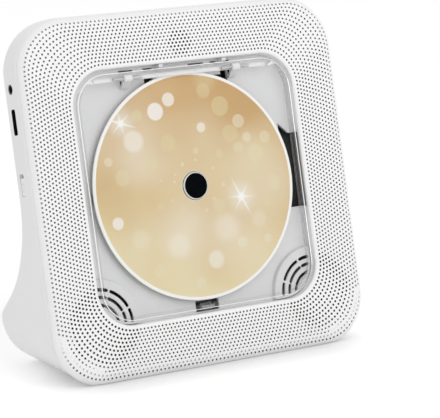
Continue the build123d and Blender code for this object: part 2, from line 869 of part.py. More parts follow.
def hinge_brackets():
    """Two eyes that carry the lid's pins."""
    brackets = []
    for side in (-1, 1):
        x = side * hinge_bracket_x
        left = x - hinge_bracket_width / 2
        right = x + hinge_bracket_width / 2
        foot = hinge_y - hinge_foot_reach
        outline = make_face(Polyline(
            (foot, -deck_depth), (hinge_y, -deck_depth), (hinge_y, -hinge_depth - 1.0),
            (hinge_y - 1.6, -hinge_depth - 0.6), (foot, -deck_depth + 1.4), close=True))
        opening = make_face(Polyline(
            (foot + 1.2, -deck_depth + 0.7), (hinge_y - 1.0, -deck_depth + 0.7),
            (hinge_y - 1.0, -hinge_depth - 2.4), close=True))
        solid = Pos(left, 0, 0) * extrude(Plane.YZ * (outline - opening), amount=right - left)
        solid += rod_along_x(left, right, hinge_y, -hinge_depth, hinge_eye_radius)
        solid -= rod_along_x(left - 1, right + 1, hinge_y, -hinge_depth, hinge_pin_radius + 0.05)
        brackets.append(solid)
    return Compound(children=brackets)


def hinge_pins():
    pins = []
    for side in (-1, 1):
        x = side * hinge_bracket_x
        reach = hinge_pin_length / 2
        pins.append(rod_along_x(x - reach, x + reach, hinge_y, -hinge_depth, hinge_pin_radius))
    return Compound(children=pins)


def lid():
    """Clear lid: plate, skirt on three sides, hinge barrel in three lengths."""
    top = window_half - lid_top_gap
    outline = Pos(0, (top - lid_half) / 2) * RectangleRounded(2 * lid_half, top + lid_half, lid_corner)
    plate = slab(outline, -lid_under, -lid_recess)
    plate = fillet(plate.edges().filter_by_position(Axis.Z, -lid_recess - 0.01, -lid_recess + 0.01), 0.4)
    inner = offset(outline, -skirt_thickness)
    skirt = slab(outline - inner, -skirt_depth, -lid_under + 0.1)
    skirt &= block(-FAR, FAR, -FAR, hinge_y - 5.0, -FAR, 0)
    solid = plate + skirt
    bracket_gap = hinge_bracket_width / 2 + 0.3
    for side in (-1, 1):
        x = side * hinge_bracket_x
        low = hinge_y - hinge_sweep
        high = hinge_y + hinge_sweep
        solid -= block(x - bracket_gap, x + bracket_gap, low, high, -FAR, 0)
    spans = [(-barrel_half, -hinge_bracket_x - bracket_gap)]
    spans.append((-hinge_bracket_x + bracket_gap, hinge_bracket_x - bracket_gap))
    spans.append((hinge_bracket_x + bracket_gap, barrel_half))
    for left, right in spans:
        solid += rod_along_x(left, right, hinge_y, -hinge_depth, barrel_radius)
    for side in (-1, 1):
        x = side * hinge_bracket_x
        reach = hinge_pin_length / 2
        solid -= rod_along_x(x - reach, x + reach, hinge_y, -hinge_depth, hinge_pin_radius)
    tab_half = keeper_half + 1
    tab_high = -lid_half + skirt_thickness
    tab = block(-tab_half, tab_half, -lid_half, tab_high, -keeper_depth, -skirt_depth + 0.1)
    return solid + tab


def lid_keeper():
    low = -lid_half + 0.1
    return block(-keeper_half, keeper_half, low, low + 1.3, -keeper_depth - keeper_thickness, -keeper_depth)


def catch_magnet():
    top = -keeper_depth - keeper_thickness - 0.3
    solid = block(-4.5, 3.0, pocket_low + 0.4, pocket_low + 4.4, top - 3.0, top)
    return fillet(solid.edges().filter_by(Axis.Z), 0.5)


def lid_sensor():
    top = -keeper_depth - keeper_thickness - 0.5
    body = block(3.6, 6.4, pocket_low + 0.8, pocket_low + 4.0, -pocket_depth, top)
    return body


def open_box(left, right, low, high, floor, rim):
    """Black cup behind an opening of the deck, with a flange against the deck."""
    flange = block(left - 4, right + 4, low - 4, high + 4, rim - 1.0, rim)
    walls = block(left - cup_wall, right + cup_wall, low - cup_wall, high + cup_wall, floor, rim)
    return flange + walls - block(left, right, low, high, floor + cup_wall, rim + 1)


def finger_cup_side():
    high = side_notch_high + side_notch_corner
    cup = open_box(side_notch_inner, side_notch_outer, side_notch_low, high, -cup_depth, -deck_under)
    limit = block(-FAR, deck_screw_line - small_head - 0.6, -FAR, FAR, -FAR, 0)
    return cup & limit


def finger_cup_top():
    cup = open_box(top_notch_left, top_notch_right, top_notch_low, top_notch_high, -cup_depth, -deck_under)
    return cup


def catch_housing():
    """Black pocket that holds the lid magnet and sensor."""
    cup = open_box(-pocket_half, pocket_half, pocket_low, pocket_high, -pocket_depth, -deck_under)
    magnet_top = -keeper_depth - keeper_thickness - 0.3
    step = block(-4.5, 3.0, pocket_low, pocket_low + 4.4, -pocket_depth, magnet_top - 3.0)
    return cup + step - lid_sensor()


# ---------------------------------------------------------------- disc and spindle
def disc():
    solid = ring(0, 0, disc_radius, disc_bore, -disc_under, -disc_depth)
    rims = solid.edges().filter_by(GeomType.CIRCLE).sort_by(SortBy.RADIUS)[-2:]
    return fillet(rims, 0.3)


def turntable():
    pad_seat = disc_under + pad_thickness
    bottom = pad_seat + turntable_thickness
    hub = rod(0, 0, hub_radius, -pad_seat, -hub_top_depth)
    hub = chamfer(hub.edges().group_by(Axis.Z)[-1], hub_chamfer)
    flange = rod(0, 0, turntable_radius, -bottom, -pad_seat)
    flange += ring(0, 0, pad_inner - 0.2, hub_radius + 1.2, -bottom, -disc_under)
    flange += rod(0, 0, turntable_sleeve, -bottom - turntable_sleeve_length, -bottom)
    solid = hub + flange
    solid -= rod(0, 0, spindle_radius + spindle_fit, -FAR, -hub_top_depth - 1.0)
    pocket_start = ball_reach - 2 * ball_radius - 0.2
    for place in ball_places():
        solid -= place * rod_along_x(pocket_start, ball_reach + 1, 0, 0, ball_radius + 0.05)
    return solid


def ball_places():
    depth = disc_depth + disc_thickness / 2
    return [Pos(0, 0, -depth) * Rot(0, 0, 50 + 120 * i) for i in range(3)]


def hub_balls():
    reach = ball_reach - ball_radius
    return Compound(children=[place * Pos(reach, 0, 0) * Sphere(ball_radius) for place in ball_places()])


def turntable_pad():
    return ring(0, 0, pad_outer, pad_inner, -disc_under - pad_thickness, -disc_under)


def spindle_shaft():
    bottom = -chassis_under - spindle_motor_height - 0.4
    return rod(0, 0, spindle_radius, bottom, -hub_top_depth - 1.2)


def spindle_motor():
    bottom = -chassis_under - spindle_motor_height
    can = rod(0, 0, spindle_motor_radius, bottom, -chassis_under)
    can = fillet(can.edges().group_by(Axis.Z)[0], 0.8)
    collar = rod(0, 0, 3.0, -chassis_under, -chassis_depth + 0.6)
    return can + collar - rod(0, 0, spindle_radius + spindle_fit, -FAR, 0)


# ---------------------------------------------------------------- mechanism
def mech_chassis():
    """Steel plate that carries motor, rods and gears, floating on four dampers."""
    width = chassis_right - chassis_left
    height = chassis_high - chassis_low
    middle = Pos((chassis_left + chassis_right) / 2, (chassis_low + chassis_high) / 2)
    solid = slab(middle * RectangleRounded(width, height, chassis_corner), -chassis_under, -chassis_depth)
    outer_end = sled_x - sled_travel - sled_half - sled_window_margin
    inner_end = sled_x + sled_half + sled_window_margin
    half = sled_block_half + sled_window_margin
    solid -= block(outer_end, inner_end, -half, half, -FAR, 0)
    solid -= rod(0, 0, 3.0, -FAR, 0)
    for end in (outer_end - rod_clip_length - 0.4, inner_end + 0.4):
        for y, radius in ((rod_offset, main_rod_radius), (-rod_offset, side_rod_radius)):
            clip = block(end, end + rod_clip_length, y - rod_clip_half, y + rod_clip_half,
                         -chassis_depth, -sled_top_depth - 0.2)
            solid += clip - rod_along_x(end - 1, end + rod_clip_length + 1, y, -rod_depth, radius)
    for x, y in damper_points:
        solid -= rod(x, y, damper_radius - damper_groove, -FAR, 0)
    solid += rod(gear_x, gear_y, gear_axle, -gear_bottom - 0.4, -chassis_under)
    solid -= rod(pinion_x, pinion_y, 2.2, -FAR, 0)
    return solid


def mech_dampers():
    """Rubber grommets: a groove holds the chassis, a post of the deck goes through."""
    grommets = []
    top = -chassis_depth + damper_bulge
    bottom = -chassis_under - damper_bulge
    neck = damper_radius - damper_groove
    for x, y in damper_points:
        solid = rod(x, y, damper_radius, bottom, top)
        solid -= ring(x, y, damper_radius + 1, neck, -chassis_under, -chassis_depth)
        grommets.append(solid - rod(x, y, post_radius + 0.05, -FAR, 0))
    return Compound(children=grommets)


def damper_screws():
    screws = []
    head_top = -chassis_under - damper_bulge - 0.1 - small_head_height
    head = damper_radius - 1.2
    shaft = post_bore - 0.05
    for x, y in damper_points:
        screws.append(screw(x, y, head_top, 1, head, small_head_height, shaft, 6.0))
    return Compound(children=screws)


def guide_rod(y, radius):
    outer_end = sled_x - sled_travel - sled_half - sled_window_margin
    inner_end = sled_x + sled_half + sled_window_margin
    left = outer_end - rod_clip_length - 1.2
    right = inner_end + rod_clip_length + 1.2
    return rod_along_x(left, right, y, -rod_depth, radius)


def pickup_sled():
    """Moulded sled: block, two bushings on the main rod, a fork on the other rod."""
    x = sled_x
    solid = block(x - sled_half, x + sled_half, -sled_block_half, sled_block_half,
                  -sled_bottom_depth, -sled_top_depth)
    half = lens_block_half
    solid += block(x - half, x + half, -half, half, -sled_top_depth, -lens_block_top)
    for left in (x - sled_half, x + sled_half - 5):
        high = rod_offset + 2.8
        solid += block(left, left + 5, sled_block_half, high, -chassis_depth + 0.3, -sled_top_depth)
    solid += block(x - 4, x + 4, -rod_offset - 2.6, -sled_block_half, -rod_depth - 2.0, -rod_depth + 2.0)
    solid -= rod_along_x(x - FAR, x + FAR, rod_offset, -rod_depth, main_rod_radius + rod_fit)
    gap = side_rod_radius + rod_fit
    solid -= block(x - 5, x + 5, -rod_offset - 5, -rod_offset + gap, -rod_depth - gap, -rod_depth + gap)
    solid -= block(x - 6, x + 6, -9, 9, -sled_bottom_depth - 1, -sled_top_depth - 2)
    solid -= rod(x, 0, lens_radius - 0.6, -FAR, 0)
    return solid


def pickup_lens():
    base = rod(sled_x, 0, lens_radius, -lens_block_top, -lens_top_depth - 0.6)
    upright = (Align.CENTER, Align.CENTER, Align.MIN)
    dome = Pos(sled_x, 0, -lens_top_depth - 0.6) * Cone(lens_radius - 0.6, 1.6, 0.6, align=upright)
    return base + dome


def gear_outline(module, teeth, backlash):
    """Involute gear outline, one tooth at a time, as a closed face."""
    pitch = module * teeth / 2
    base = pitch * math.cos(math.radians(20))
    tip = pitch + module
    root = pitch - 1.25 * module
    half_tooth = math.pi / (2 * teeth) - backlash / (2 * pitch)
    pitch_roll = math.sqrt((pitch / base) ** 2 - 1)
    pitch_angle = pitch_roll - math.atan(pitch_roll)
    tip_roll = math.sqrt((tip / base) ** 2 - 1)
    points = []
    for tooth in range(teeth):
        centre = 2 * math.pi * tooth / teeth
        flank = []
        for step in range(4):
            roll = tip_roll * step / 3
            radius = base * math.sqrt(1 + roll * roll)
            if radius < root:
                continue
            angle = half_tooth + pitch_angle - (roll - math.atan(roll))
            flank.append((radius, angle))
        first_angle = flank[0][1]
        points.append((root, centre - first_angle))
        points += [(r, centre - a) for r, a in flank]
        points += [(r, centre + a) for r, a in reversed(flank)]
        points.append((root, centre + first_angle))
    corners = [(r * math.cos(a), r * math.sin(a)) for r, a in points]
    return make_face(Polyline(*corners, close=True))


gear_pitch = rack_module * gear_teeth / 2
gear_y = -rack_line - gear_pitch
wheel_depth = rack_depth + rack_thickness + gear_step
gear_bottom = wheel_depth + wheel_thickness
centre_distance = wheel_module * (wheel_teeth + pinion_teeth) / 2
pinion_x = gear_x + centre_distance * math.cos(math.radians(pinion_angle))
pinion_y = gear_y + centre_distance * math.sin(math.radians(pinion_angle))


def sled_rack():
    """Toothed bar under the sled, teeth towards the gear below it."""
    pitch = math.pi * rack_module
    left = sled_x + rack_outer_end
    right = sled_x + rack_inner_end
    root = rack_line - 1.25 * rack_module
    tip = rack_line + rack_module
    slope = math.tan(math.radians(20))
    bar = block(left, right, -root, -sled_block_half, -rack_depth - rack_thickness, -rack_depth)
    half_line = pitch / 4 - gear_backlash / 2
    first = math.ceil((left + pitch / 2 - gear_x) / pitch - 0.5)
    last = math.floor((right - pitch / 2 - gear_x) / pitch - 0.5)
    for i in range(first, last + 1):
        x = gear_x + (i + 0.5) * pitch
        wide = half_line + (rack_line - root) * slope
        narrow = half_line - (tip - rack_line) * slope
        tooth = make_face(Polyline((x - wide, -root + 0.1), (x + wide, -root + 0.1),
                                   (x + narrow, -tip), (x - narrow, -tip), close=True))
        bar += slab(tooth, -rack_depth - rack_thickness, -rack_depth)
    return bar


def sled_gear():
    """Two-step gear: the small step drives the rack, the large one meets the pinion."""
    turn_small = 90.0
    small = Rot(0, 0, turn_small) * gear_outline(rack_module, gear_teeth, gear_backlash)
    solid = slab(Pos(gear_x, gear_y) * small, -rack_depth - rack_thickness, -rack_depth)
    large = Rot(0, 0, pinion_angle) * gear_outline(wheel_module, wheel_teeth, gear_backlash)
    solid += slab(Pos(gear_x, gear_y) * large, -gear_bottom, -wheel_depth)
    solid += rod(gear_x, gear_y, 4.0, -wheel_depth - 0.5, -rack_depth - 0.5)
    return solid - rod(gear_x, gear_y, gear_bore, -FAR, 0)


def sled_pinion():
    """Motor pinion with its shaft, a tooth gap towards the large gear."""
    start = pinion_angle + 180.0 + 180.0 / pinion_teeth
    outline = Rot(0, 0, start) * gear_outline(wheel_module, pinion_teeth, gear_backlash)
    solid = slab(Pos(pinion_x, pinion_y) * outline, -gear_bottom - 0.1, -wheel_depth + 0.1)
    solid += rod(pinion_x, pinion_y, motor_shaft_radius, -gear_bottom - 0.6, -chassis_depth + 2.5)
    return solid


def sled_motor():
    can = rod(pinion_x, pinion_y, sled_motor_radius, -chassis_depth, -chassis_depth + sled_motor_height)
    can = fillet(can.edges().group_by(Axis.Z)[-1], 0.6)
    return can - rod(pinion_x, pinion_y, motor_shaft_radius + 0.05, -FAR, -chassis_depth + 3.0)


# ---------------------------------------------------------------- speakers
def speaker_frame(side):
    """Basket: rim with two ears, sloping wall with windows, back plate."""
    x, y = side * speaker_x, -speaker_drop
    top = -speaker_depth
    under = top - speaker_flange
    floor = under - speaker_basket_depth
    seat = speaker_radius - speaker_rim
    hole = coil_outer + coil_gap
    solid = turned_profile([
        (seat, top), (speaker_radius, top), (speaker_radius, under), (seat + 1.0, under),
        (speaker_back_radius, floor - speaker_back_thickness), (hole, floor - speaker_back_thickness),
        (hole, floor), (speaker_back_radius - 1.0, floor), (seat, under)], x, y)
    for angle in (0, 90, 180, 270):
        gap = Pos(x, y, floor + speaker_basket_depth / 2) * Rot(0, 0, angle + 45) * Pos(14, 0, 0)
        solid -= gap * Box(12, 8, speaker_basket_depth - 2.5)
    for angle in speaker_ear_angles:
        turn = Pos(x, y, 0) * Rot(0, 0, angle if side > 0 else 180 - angle)
        ear = block(seat + 0.5, speaker_ear_reach, -speaker_ear_radius, speaker_ear_radius, under, top)
        ear += rod(speaker_ear_reach, 0, speaker_ear_radius, under, top)
        ear -= rod(speaker_ear_reach, 0, small_pilot + 0.2, under - 1, top + 1)
        solid += turn * ear
    return solid


def speaker_magnet(side):
    x, y = side * speaker_x, -speaker_drop
    top = -speaker_depth - speaker_flange - speaker_basket_depth - speaker_back_thickness
    gap_outer = coil_outer + coil_gap
    gap_inner = coil_outer - coil_wall - coil_gap
    solid = rod(x, y, magnet_radius, top - magnet_height, top)
    return solid - ring(x, y, gap_outer, gap_inner, top - magnet_height + 1.5, top)


def speaker_cone(side):
    """Paper cone with dust cap and voice coil in one piece."""
    x, y = side * speaker_x, -speaker_drop
    rim = -speaker_depth - 0.2
    throat = rim - cone_depth
    under = throat - cone_thickness
    coil_inner = coil_outer - coil_wall
    coil_end = under - coil_length
    return turned_profile([
        (0, under), (coil_inner, under), (coil_inner, coil_end), (coil_outer, coil_end),
        (coil_outer, under), (cone_radius, rim - cone_thickness), (cone_radius, rim),
        (cone_throat, throat + 0.4), (dust_cap_radius, throat + 1.9), (0, throat + 2.3)], x, y)


def speaker_surround(side):
    """Half-round roll between cone and rim."""
    x, y = side * speaker_x, -speaker_drop
    inner = cone_radius + surround_gap
    edge = speaker_radius - speaker_rim
    middle = (inner + edge) / 2
    top = -speaker_depth - 0.2
    under = top - surround_thickness
    return turned_profile([
        (inner, under), (inner, top), (middle, top + surround_rise), (edge, top), (edge, under),
        (middle, under + surround_rise)], x, y)


# ---------------------------------------------------------------- side wall controls
def side_board():
    left = side_inner + 1.0
    board = block(left, left + side_board_width, side_board_low, side_board_high,
                  -side_board_depth - side_board_thickness, -side_board_depth)
    for y in side_board_screws:
        board -= rod(side_board_x, y, small_pilot + 0.2, -FAR, 0)
    return board


def headphone_jack():
    left = side_inner + 0.1
    half = side_board_depth - jack_depth
    right = left + jack_length
    body = block(left, right, jack_y - half, jack_y + half, -side_board_depth, -jack_depth + half)
    body += rod_along_x(-case_half + 0.3, left, jack_y, -jack_depth, jack_nose)
    return body - rod_along_x(-case_half - 1, left + jack_length - 1.5, jack_y, -jack_depth, jack_bore)


def usb_socket():
    """Metal shell, open to the side, with a tongue inside."""
    left = side_inner + 0.1
    right = left + 13.0
    half_y = usb_length / 2
    half_z = usb_height / 2
    body = block(left, right, usb_y - half_y, usb_y + half_y, -usb_depth - half_z, -usb_depth + half_z)
    body -= block(left - 1, right - 1, usb_y - half_y + usb_shell, usb_y + half_y - usb_shell,
                  -usb_depth - half_z + usb_shell, -usb_depth + half_z - usb_shell)
    tongue_top = -usb_depth - half_z + usb_shell + 2.2
    low = usb_y - half_y + 1.2
    high = usb_y + half_y - 1.2
    body += block(left + 1.5, right - 0.5, low, high, tongue_top - usb_tongue, tongue_top)
    return body


def switch_body():
    left = side_inner + 1.4
    body = block(left, left + 5.0, switch_y - 5.5, switch_y + 5.5, -side_board_depth, -switch_depth + 2.4)
    low = switch_y - 3.4
    high = switch_y + 3.4
    body -= block(left - 1, left + 2.0, low, high, -switch_depth - 1.2, -switch_depth + 1.2)
    return body


def power_switch():
    """Sliding knob in the side wall, at the lower end of its travel."""
    length = switch_slot_length - switch_travel - 2 * switch_gap
    height = switch_slot_height - 2 * switch_gap
    centre = switch_y - switch_travel / 2
    knob = side_slot(-case_half + 0.5, side_inner + 0.1, centre, switch_depth, length, height, 1.0)
    for i in (-1, 0, 1):
        groove = Pos(-case_half + 0.5, centre + 1.6 * i, -switch_depth) * Box(0.7, 0.6, height - 1.2)
        knob -= groove
    back = block(side_inner + 0.1, side_inner + 1.0, centre - length / 2 - 0.8, centre + length / 2 + 0.8,
                 -switch_depth - height / 2 - 0.5, -switch_depth + height / 2 + 0.5)
    start = side_inner + 1.0
    stem = block(start, start + 1.8, centre - 1.2, centre + 1.2, -switch_depth - 0.9, -switch_depth + 0.9)
    return knob + back + stem


# ---------------------------------------------------------------- buttons
def push_button(x):
    """Rounded cap through the top wall, with a flange and a stem inside."""
    top = case_half - button_sink
    inner = case_half - case_wall - 0.1
    cap = top_slot(x, inner, top, button_length, button_width)
    cap = fillet(cap.edges().group_by(Axis.Y)[-1], 0.4)
    flange = top_slot(x, inner - button_flange_thickness, inner, button_length + 2 * button_flange,
                      button_width + 2 * button_flange)
    stem_end = case_half - button_board_drop + tact_height + button_travel + 0.1
    stem = Pos(x, (stem_end + inner - 0.2) / 2, -button_depth) * Rot(90, 0, 0)
    stem *= Cylinder(button_stem, inner - 0.2 - stem_end)
    return cap + flange + stem


def button_board():
    half = button_pitch * 2 + 6.0
    low = button_board_low
    board = block(-half, half, low, low + board_thickness, -button_depth - 5, -button_depth + 5)
    for x in button_board_screws:
        board -= Pos(x, low, -button_depth) * Rot(90, 0, 0) * Cylinder(small_pilot + 0.2, 9)
    return board


def tact_switches():
    switches = []
    low = button_board_low + board_thickness
    for x in button_places:
        half = tact_size / 2
        high = low + tact_height - 0.8
        base = block(x - half, x + half, low, high, -button_depth - half, -button_depth + half)
        knob = Pos(x, low + tact_height / 2, -button_depth) * Rot(90, 0, 0) * Cylinder(1.5, tact_height)
        switches.append(base + knob)
    return Compound(children=switches)


# ---------------------------------------------------------------- boards
def main_board():
    board = block(-main_board_half, main_board_half, main_board_low, main_board_high,
                  -main_board_depth - board_thickness, -main_board_depth)
    for x, y in main_board_points():
        board -= rod(x, y, small_pilot + 0.2, -FAR, 0)
    return board


def main_board_points():
    xs = (-main_board_half + board_post_inset, main_board_half - board_post_inset)
    ys = (main_board_low + board_post_inset, main_board_high - board_post_inset)
    return [(x, y) for x in xs for y in ys]


def board_chips():
    """Chips, capacitors and connectors on the front of the main board."""
    face = -main_board_depth
    low = main_board_low
    pieces = [
        block(-6, 6, low + 10, low + 22, face, face + 1.2),
        block(14, 22, low + 6, low + 14, face, face + 1.6),
        block(-26, -18, low + 4, low + 12, face, face + 1.6),
        block(26, 38, low + 14, low + 19, face, face + 6.0),
        block(-38, -30, low + 4, low + 9, face, face + 6.0),
        rod(14, low + 22, 3.1, face, face + 7.0),
        rod(-16, low + 20, 3.1, face, face + 7.0),
    ]
    return Compound(children=pieces)


def flex_cable():
    """Ribbon from the chassis down to the main board."""
    start = (flex_x, chassis_low + 8, -chassis_under - 0.4)
    path = FilletPolyline(start, (flex_x, chassis_low - 4, -chassis_under - 0.4),
                          (flex_x, chassis_low - 6, -main_board_depth + 3.0),
                          (flex_x, main_board_high - 16, -main_board_depth + 0.4), radius=2.0)
    section = Plane(origin=start, x_dir=(1, 0, 0), z_dir=(0, -1, 0)) * Rectangle(flex_width, flex_thickness)
    return sweep(section, path=path)


def receiver_board():
    y = receiver_height + 2.5
    half = receiver_board_half
    board = block(-half, half, y - 5, y + 5, -receiver_board_depth - 1.0, -receiver_board_depth)
    for x, screw_y in receiver_screw_points:
        board -= rod(x, screw_y, small_pilot + 0.2, -FAR, 0)
    return board


def ir_receiver():
    """Dark receiver block behind the top middle holes."""
    low = receiver_height - 2.0
    solid = block(-3.5, 3.5, low, low + 6, -receiver_board_depth, -case_wall - 0.8)
    return fillet(solid.edges().group_by(Axis.Z)[-1], 0.8)


def small_screws():
    """Small self-tapping screws of deck, speakers, boards and hanger plates."""
    screws = []

    def drive_up(x, y, seat, length):
        head_top = seat - small_head_height
        screws.append(screw(x, y, head_top, 1, small_head, small_head_height, small_shaft, length))

    for x, y in deck_screw_points:
        drive_up(x, y, -deck_under, 5.5)
    for side in (-1, 1):
        for x, y in ear_points(side):
            drive_up(x, y, -speaker_depth - speaker_flange, 4.5)
    for x, y in receiver_screw_points:
        drive_up(x, y, -receiver_board_depth - 1.0, 4.0)
    for x, y in main_board_points():
        top = -main_board_depth + small_head_height
        screws.append(screw(x, y, top, -1, small_head, small_head_height, small_shaft, 4.5))
    for y in side_board_screws:
        top = -side_board_depth + small_head_height
        screws.append(screw(side_board_x, y, top, -1, small_head, small_head_height, small_shaft, 2.8))
    for x in button_board_screws:
        solid = screw(0, 0, 0, -1, small_head, small_head_height, small_shaft, 4.5)
        high = button_board_low + board_thickness + small_head_height
        screws.append(Pos(x, high, -button_depth) * Rot(-90, 0, 0) * solid)
    for side in (-1, 1):
        for x, y in hanger_screws:
            solid = screw(0, 0, 0, -1, hanger_screw_head, hanger_screw_sink, small_shaft, 3.2)
            place = Pos(side * hanger_spacing / 2 + x, foot_back, hanger_height + y) * Rot(-90, 0, 0)
            screws.append(lay(place * solid))
    return Compound(children=screws)


# ---------------------------------------------------------------- assembly
parts["front_cover"] = front_cover()
parts["rear_shell"] = rear_shell()
parts["case_screws"] = case_screws()
parts["rubber_feet"] = rubber_feet()
parts["hanger_pads"] = hanger_pads()
parts["hanger_plates"] = hanger_plates()
parts["small_screws"] = small_screws()
parts["deck"] = deck()
parts["hinge_brackets"] = hinge_brackets()
parts["hinge_pins"] = hinge_pins()
parts["lid"] = lid()
parts["lid_keeper"] = lid_keeper()
parts["catch_magnet"] = catch_magnet()
parts["catch_housing"] = catch_housing()
parts["lid_sensor"] = lid_sensor()
parts["finger_cup_side"] = finger_cup_side()
parts["finger_cup_top"] = finger_cup_top()
parts["disc"] = disc()
parts["turntable"] = turntable()
parts["turntable_pad"] = turntable_pad()
parts["hub_balls"] = hub_balls()
parts["spindle_shaft"] = spindle_shaft()
parts["spindle_motor"] = spindle_motor()
parts["mech_chassis"] = mech_chassis()
parts["mech_dampers"] = mech_dampers()
parts["damper_screws"] = damper_screws()
parts["guide_rod_main"] = guide_rod(rod_offset, main_rod_radius)
parts["guide_rod_side"] = guide_rod(-rod_offset, side_rod_radius)
parts["pickup_sled"] = pickup_sled()
parts["pickup_lens"] = pickup_lens()
parts["sled_rack"] = sled_rack()
parts["sled_gear"] = sled_gear()
parts["sled_pinion"] = sled_pinion()
parts["sled_motor"] = sled_motor()
for side, word in ((-1, "left"), (1, "right")):
    parts["speaker_frame_" + word] = speaker_frame(side)
    parts["speaker_magnet_" + word] = speaker_magnet(side)
    parts["speaker_cone_" + word] = speaker_cone(side)
    parts["speaker_surround_" + word] = speaker_surround(side)
parts["side_board"] = side_board()
parts["headphone_jack"] = headphone_jack()
parts["usb_socket"] = usb_socket()
parts["switch_body"] = switch_body()
parts["power_switch"] = power_switch()
button_names = ["volume_down", "previous", "play", "next", "volume_up"]
for name, place in zip(button_names, button_places):
    parts["button_" + name] = push_button(place)
parts["button_board"] = button_board()
parts["tact_switches"] = tact_switches()
parts["main_board"] = main_board()
parts["board_chips"] = board_chips()
parts["power_inlet"] = power_inlet()
parts["flex_cable"] = flex_cable()
parts["receiver_board"] = receiver_board()
parts["ir_receiver"] = ir_receiver()

# Disc and mechanism sit slightly above the middle of the face.
mechanism = ["disc", "turntable", "turntable_pad", "hub_balls", "spindle_shaft", "spindle_motor",
             "mech_chassis", "mech_dampers", "damper_screws", "guide_rod_main", "guide_rod_side",
             "pickup_sled", "pickup_lens", "sled_rack", "sled_gear", "sled_pinion", "sled_motor"]
for name in mechanism:
    parts[name] = Pos(0, disc_rise, 0) * parts[name]

# Stand the pieces up and centre the case over the origin.
box = (STAND * parts["rear_shell"]).bounding_box()
front_box = (STAND * parts["front_cover"]).bounding_box()
middle_y = (min(box.min.Y, front_box.min.Y) + max(box.max.Y, foot_back)) / 2
centring = Location((0, -middle_y, 0))
os.makedirs("parts", exist_ok=True)
for name, solid in parts.items():
    export_step(centring * STAND * solid, "parts/" + name + ".step")
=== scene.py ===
import json
import math

import bpy
from mathutils import Matrix, Vector
from mathutils.geometry import delaunay_2d_cdt


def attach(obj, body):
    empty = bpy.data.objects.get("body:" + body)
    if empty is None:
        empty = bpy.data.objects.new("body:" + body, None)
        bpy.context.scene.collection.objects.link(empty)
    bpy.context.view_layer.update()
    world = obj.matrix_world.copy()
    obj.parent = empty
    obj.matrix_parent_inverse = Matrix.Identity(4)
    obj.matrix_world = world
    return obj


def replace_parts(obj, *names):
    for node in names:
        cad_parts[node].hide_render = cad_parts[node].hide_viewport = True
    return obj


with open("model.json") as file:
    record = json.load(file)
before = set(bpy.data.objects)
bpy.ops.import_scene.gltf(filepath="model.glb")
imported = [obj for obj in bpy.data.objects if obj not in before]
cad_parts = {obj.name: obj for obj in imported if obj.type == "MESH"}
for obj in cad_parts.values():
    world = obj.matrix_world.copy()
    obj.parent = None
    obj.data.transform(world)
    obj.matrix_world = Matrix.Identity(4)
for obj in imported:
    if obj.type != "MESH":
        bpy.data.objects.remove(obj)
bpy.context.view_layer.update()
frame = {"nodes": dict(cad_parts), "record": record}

# ---------------------------------------------------------------- sizes, in millimetres
# u, v and w are the directions of the face: u to the right, v up the leaning face and w out of it.
TILT = math.radians(12)
SIN = math.sin(TILT)
COS = math.cos(TILT)
FACE_HEIGHT = 92.15           # middle of the face above the ground
MIDDLE_Y = 15.52301132        # the middle of the face lies this far in front of the origin
CASE_FRONT = 33.477           # and the case's foremost line this far
FRONT_REACH = CASE_FRONT - MIDDLE_Y
CASE_BOTTOM = 0.5             # the cover ends this far above the ground

# the face is flat inside FLAT_HALF, and rounded outside it down to the seam with the rear shell
FLAT_HALF = 88.5
FLAT_CORNER = 21.5
EDGE_RADIUS = 6.5
SEAM_DEPTH = 3.0
SEAM_REACH = math.sqrt(EDGE_RADIUS ** 2 - (EDGE_RADIUS - SEAM_DEPTH) ** 2)
NEARLY = 0.999                # keeps the rounding short of standing square to the face
WALL = 2.2
GRILLE = 1.0                  # the wall where holes go through it

# the square window in the face, with its rolled edge
WINDOW_HALF = 66.0
WINDOW_CORNER = 19.2
WINDOW_ROLL = 1.5

# rows of small holes round the window: dimples, and open holes at the speakers and the receiver
HOLE_ROWS = 13
INNER_ROW = (68.6, 21.0)      # half width and corner radius of the innermost row
OUTER_ROW = (91.0, 24.4)
INNER_ROW_COUNT = 240
ROW_GROWTH = 4                # holes that each row has more than the row inside it
HOLE_RADIUS = 0.55
MOUTH_RADIUS = 0.62           # drafted mouth of an open hole
DIMPLE_DEPTH = 1.1
DIMPLE_CONE = 0.15            # depth of a dimple's pointed floor
SPEAKER = (64.8, -64.0)       # the right one; the left one mirrors it
SPEAKER_ZONE = 20.0
RECEIVER = (0.0, 76.0)
RECEIVER_ZONE = 7.0
BOTTOM_ROWS = -80.0           # below this height on the face the outer rows get the same painted shade as the others

# fineness of the skin's mesh
HOLE_SIDES = 12
WINDOW_POINTS = 320
SEAM_POINTS = 400
ROLL_STEPS = 8                # rings over the window's rolled edge
EDGE_STEPS = 14               # rings over the rounded outer edge
EDGE_STEP = 4                 # degrees between two of those
HOLE_ROOM = 0.12              # the rings leave out points this close to a hole
CELL = 2                      # side of the squares that holes are looked up by
NO_HOLE = -1                  # owner of a point that belongs to no hole
SAME_POINT = 1e-6             # points of the net closer than this are one point
NET_SLACK = 0.001             # room for rounding at the window's edge

# the lid's hinge line, as v and w
HINGE_V = 60.3
HINGE_W = -2.0

# the disc, with its print and the recorded film under it
DISC_CENTRE = (0.0, 0.6)
DISC_RADIUS = 60.0
DISC_BORE = 7.5
DISC_TOP = -3.6
DISC_UNDER = -4.8
DISC_STEPS = 256
BORE_CHAMFER = 0.1
RIM_ROUND = 0.3
RIM_MIDDLE = 0.09             # the middle of the rounding lies this far inside the sharp corner
PRINT_INNER = 8.1
PRINT_OUTER = 58.3
FILM_INNER = 22.0
FILM_OUTER = 58.5


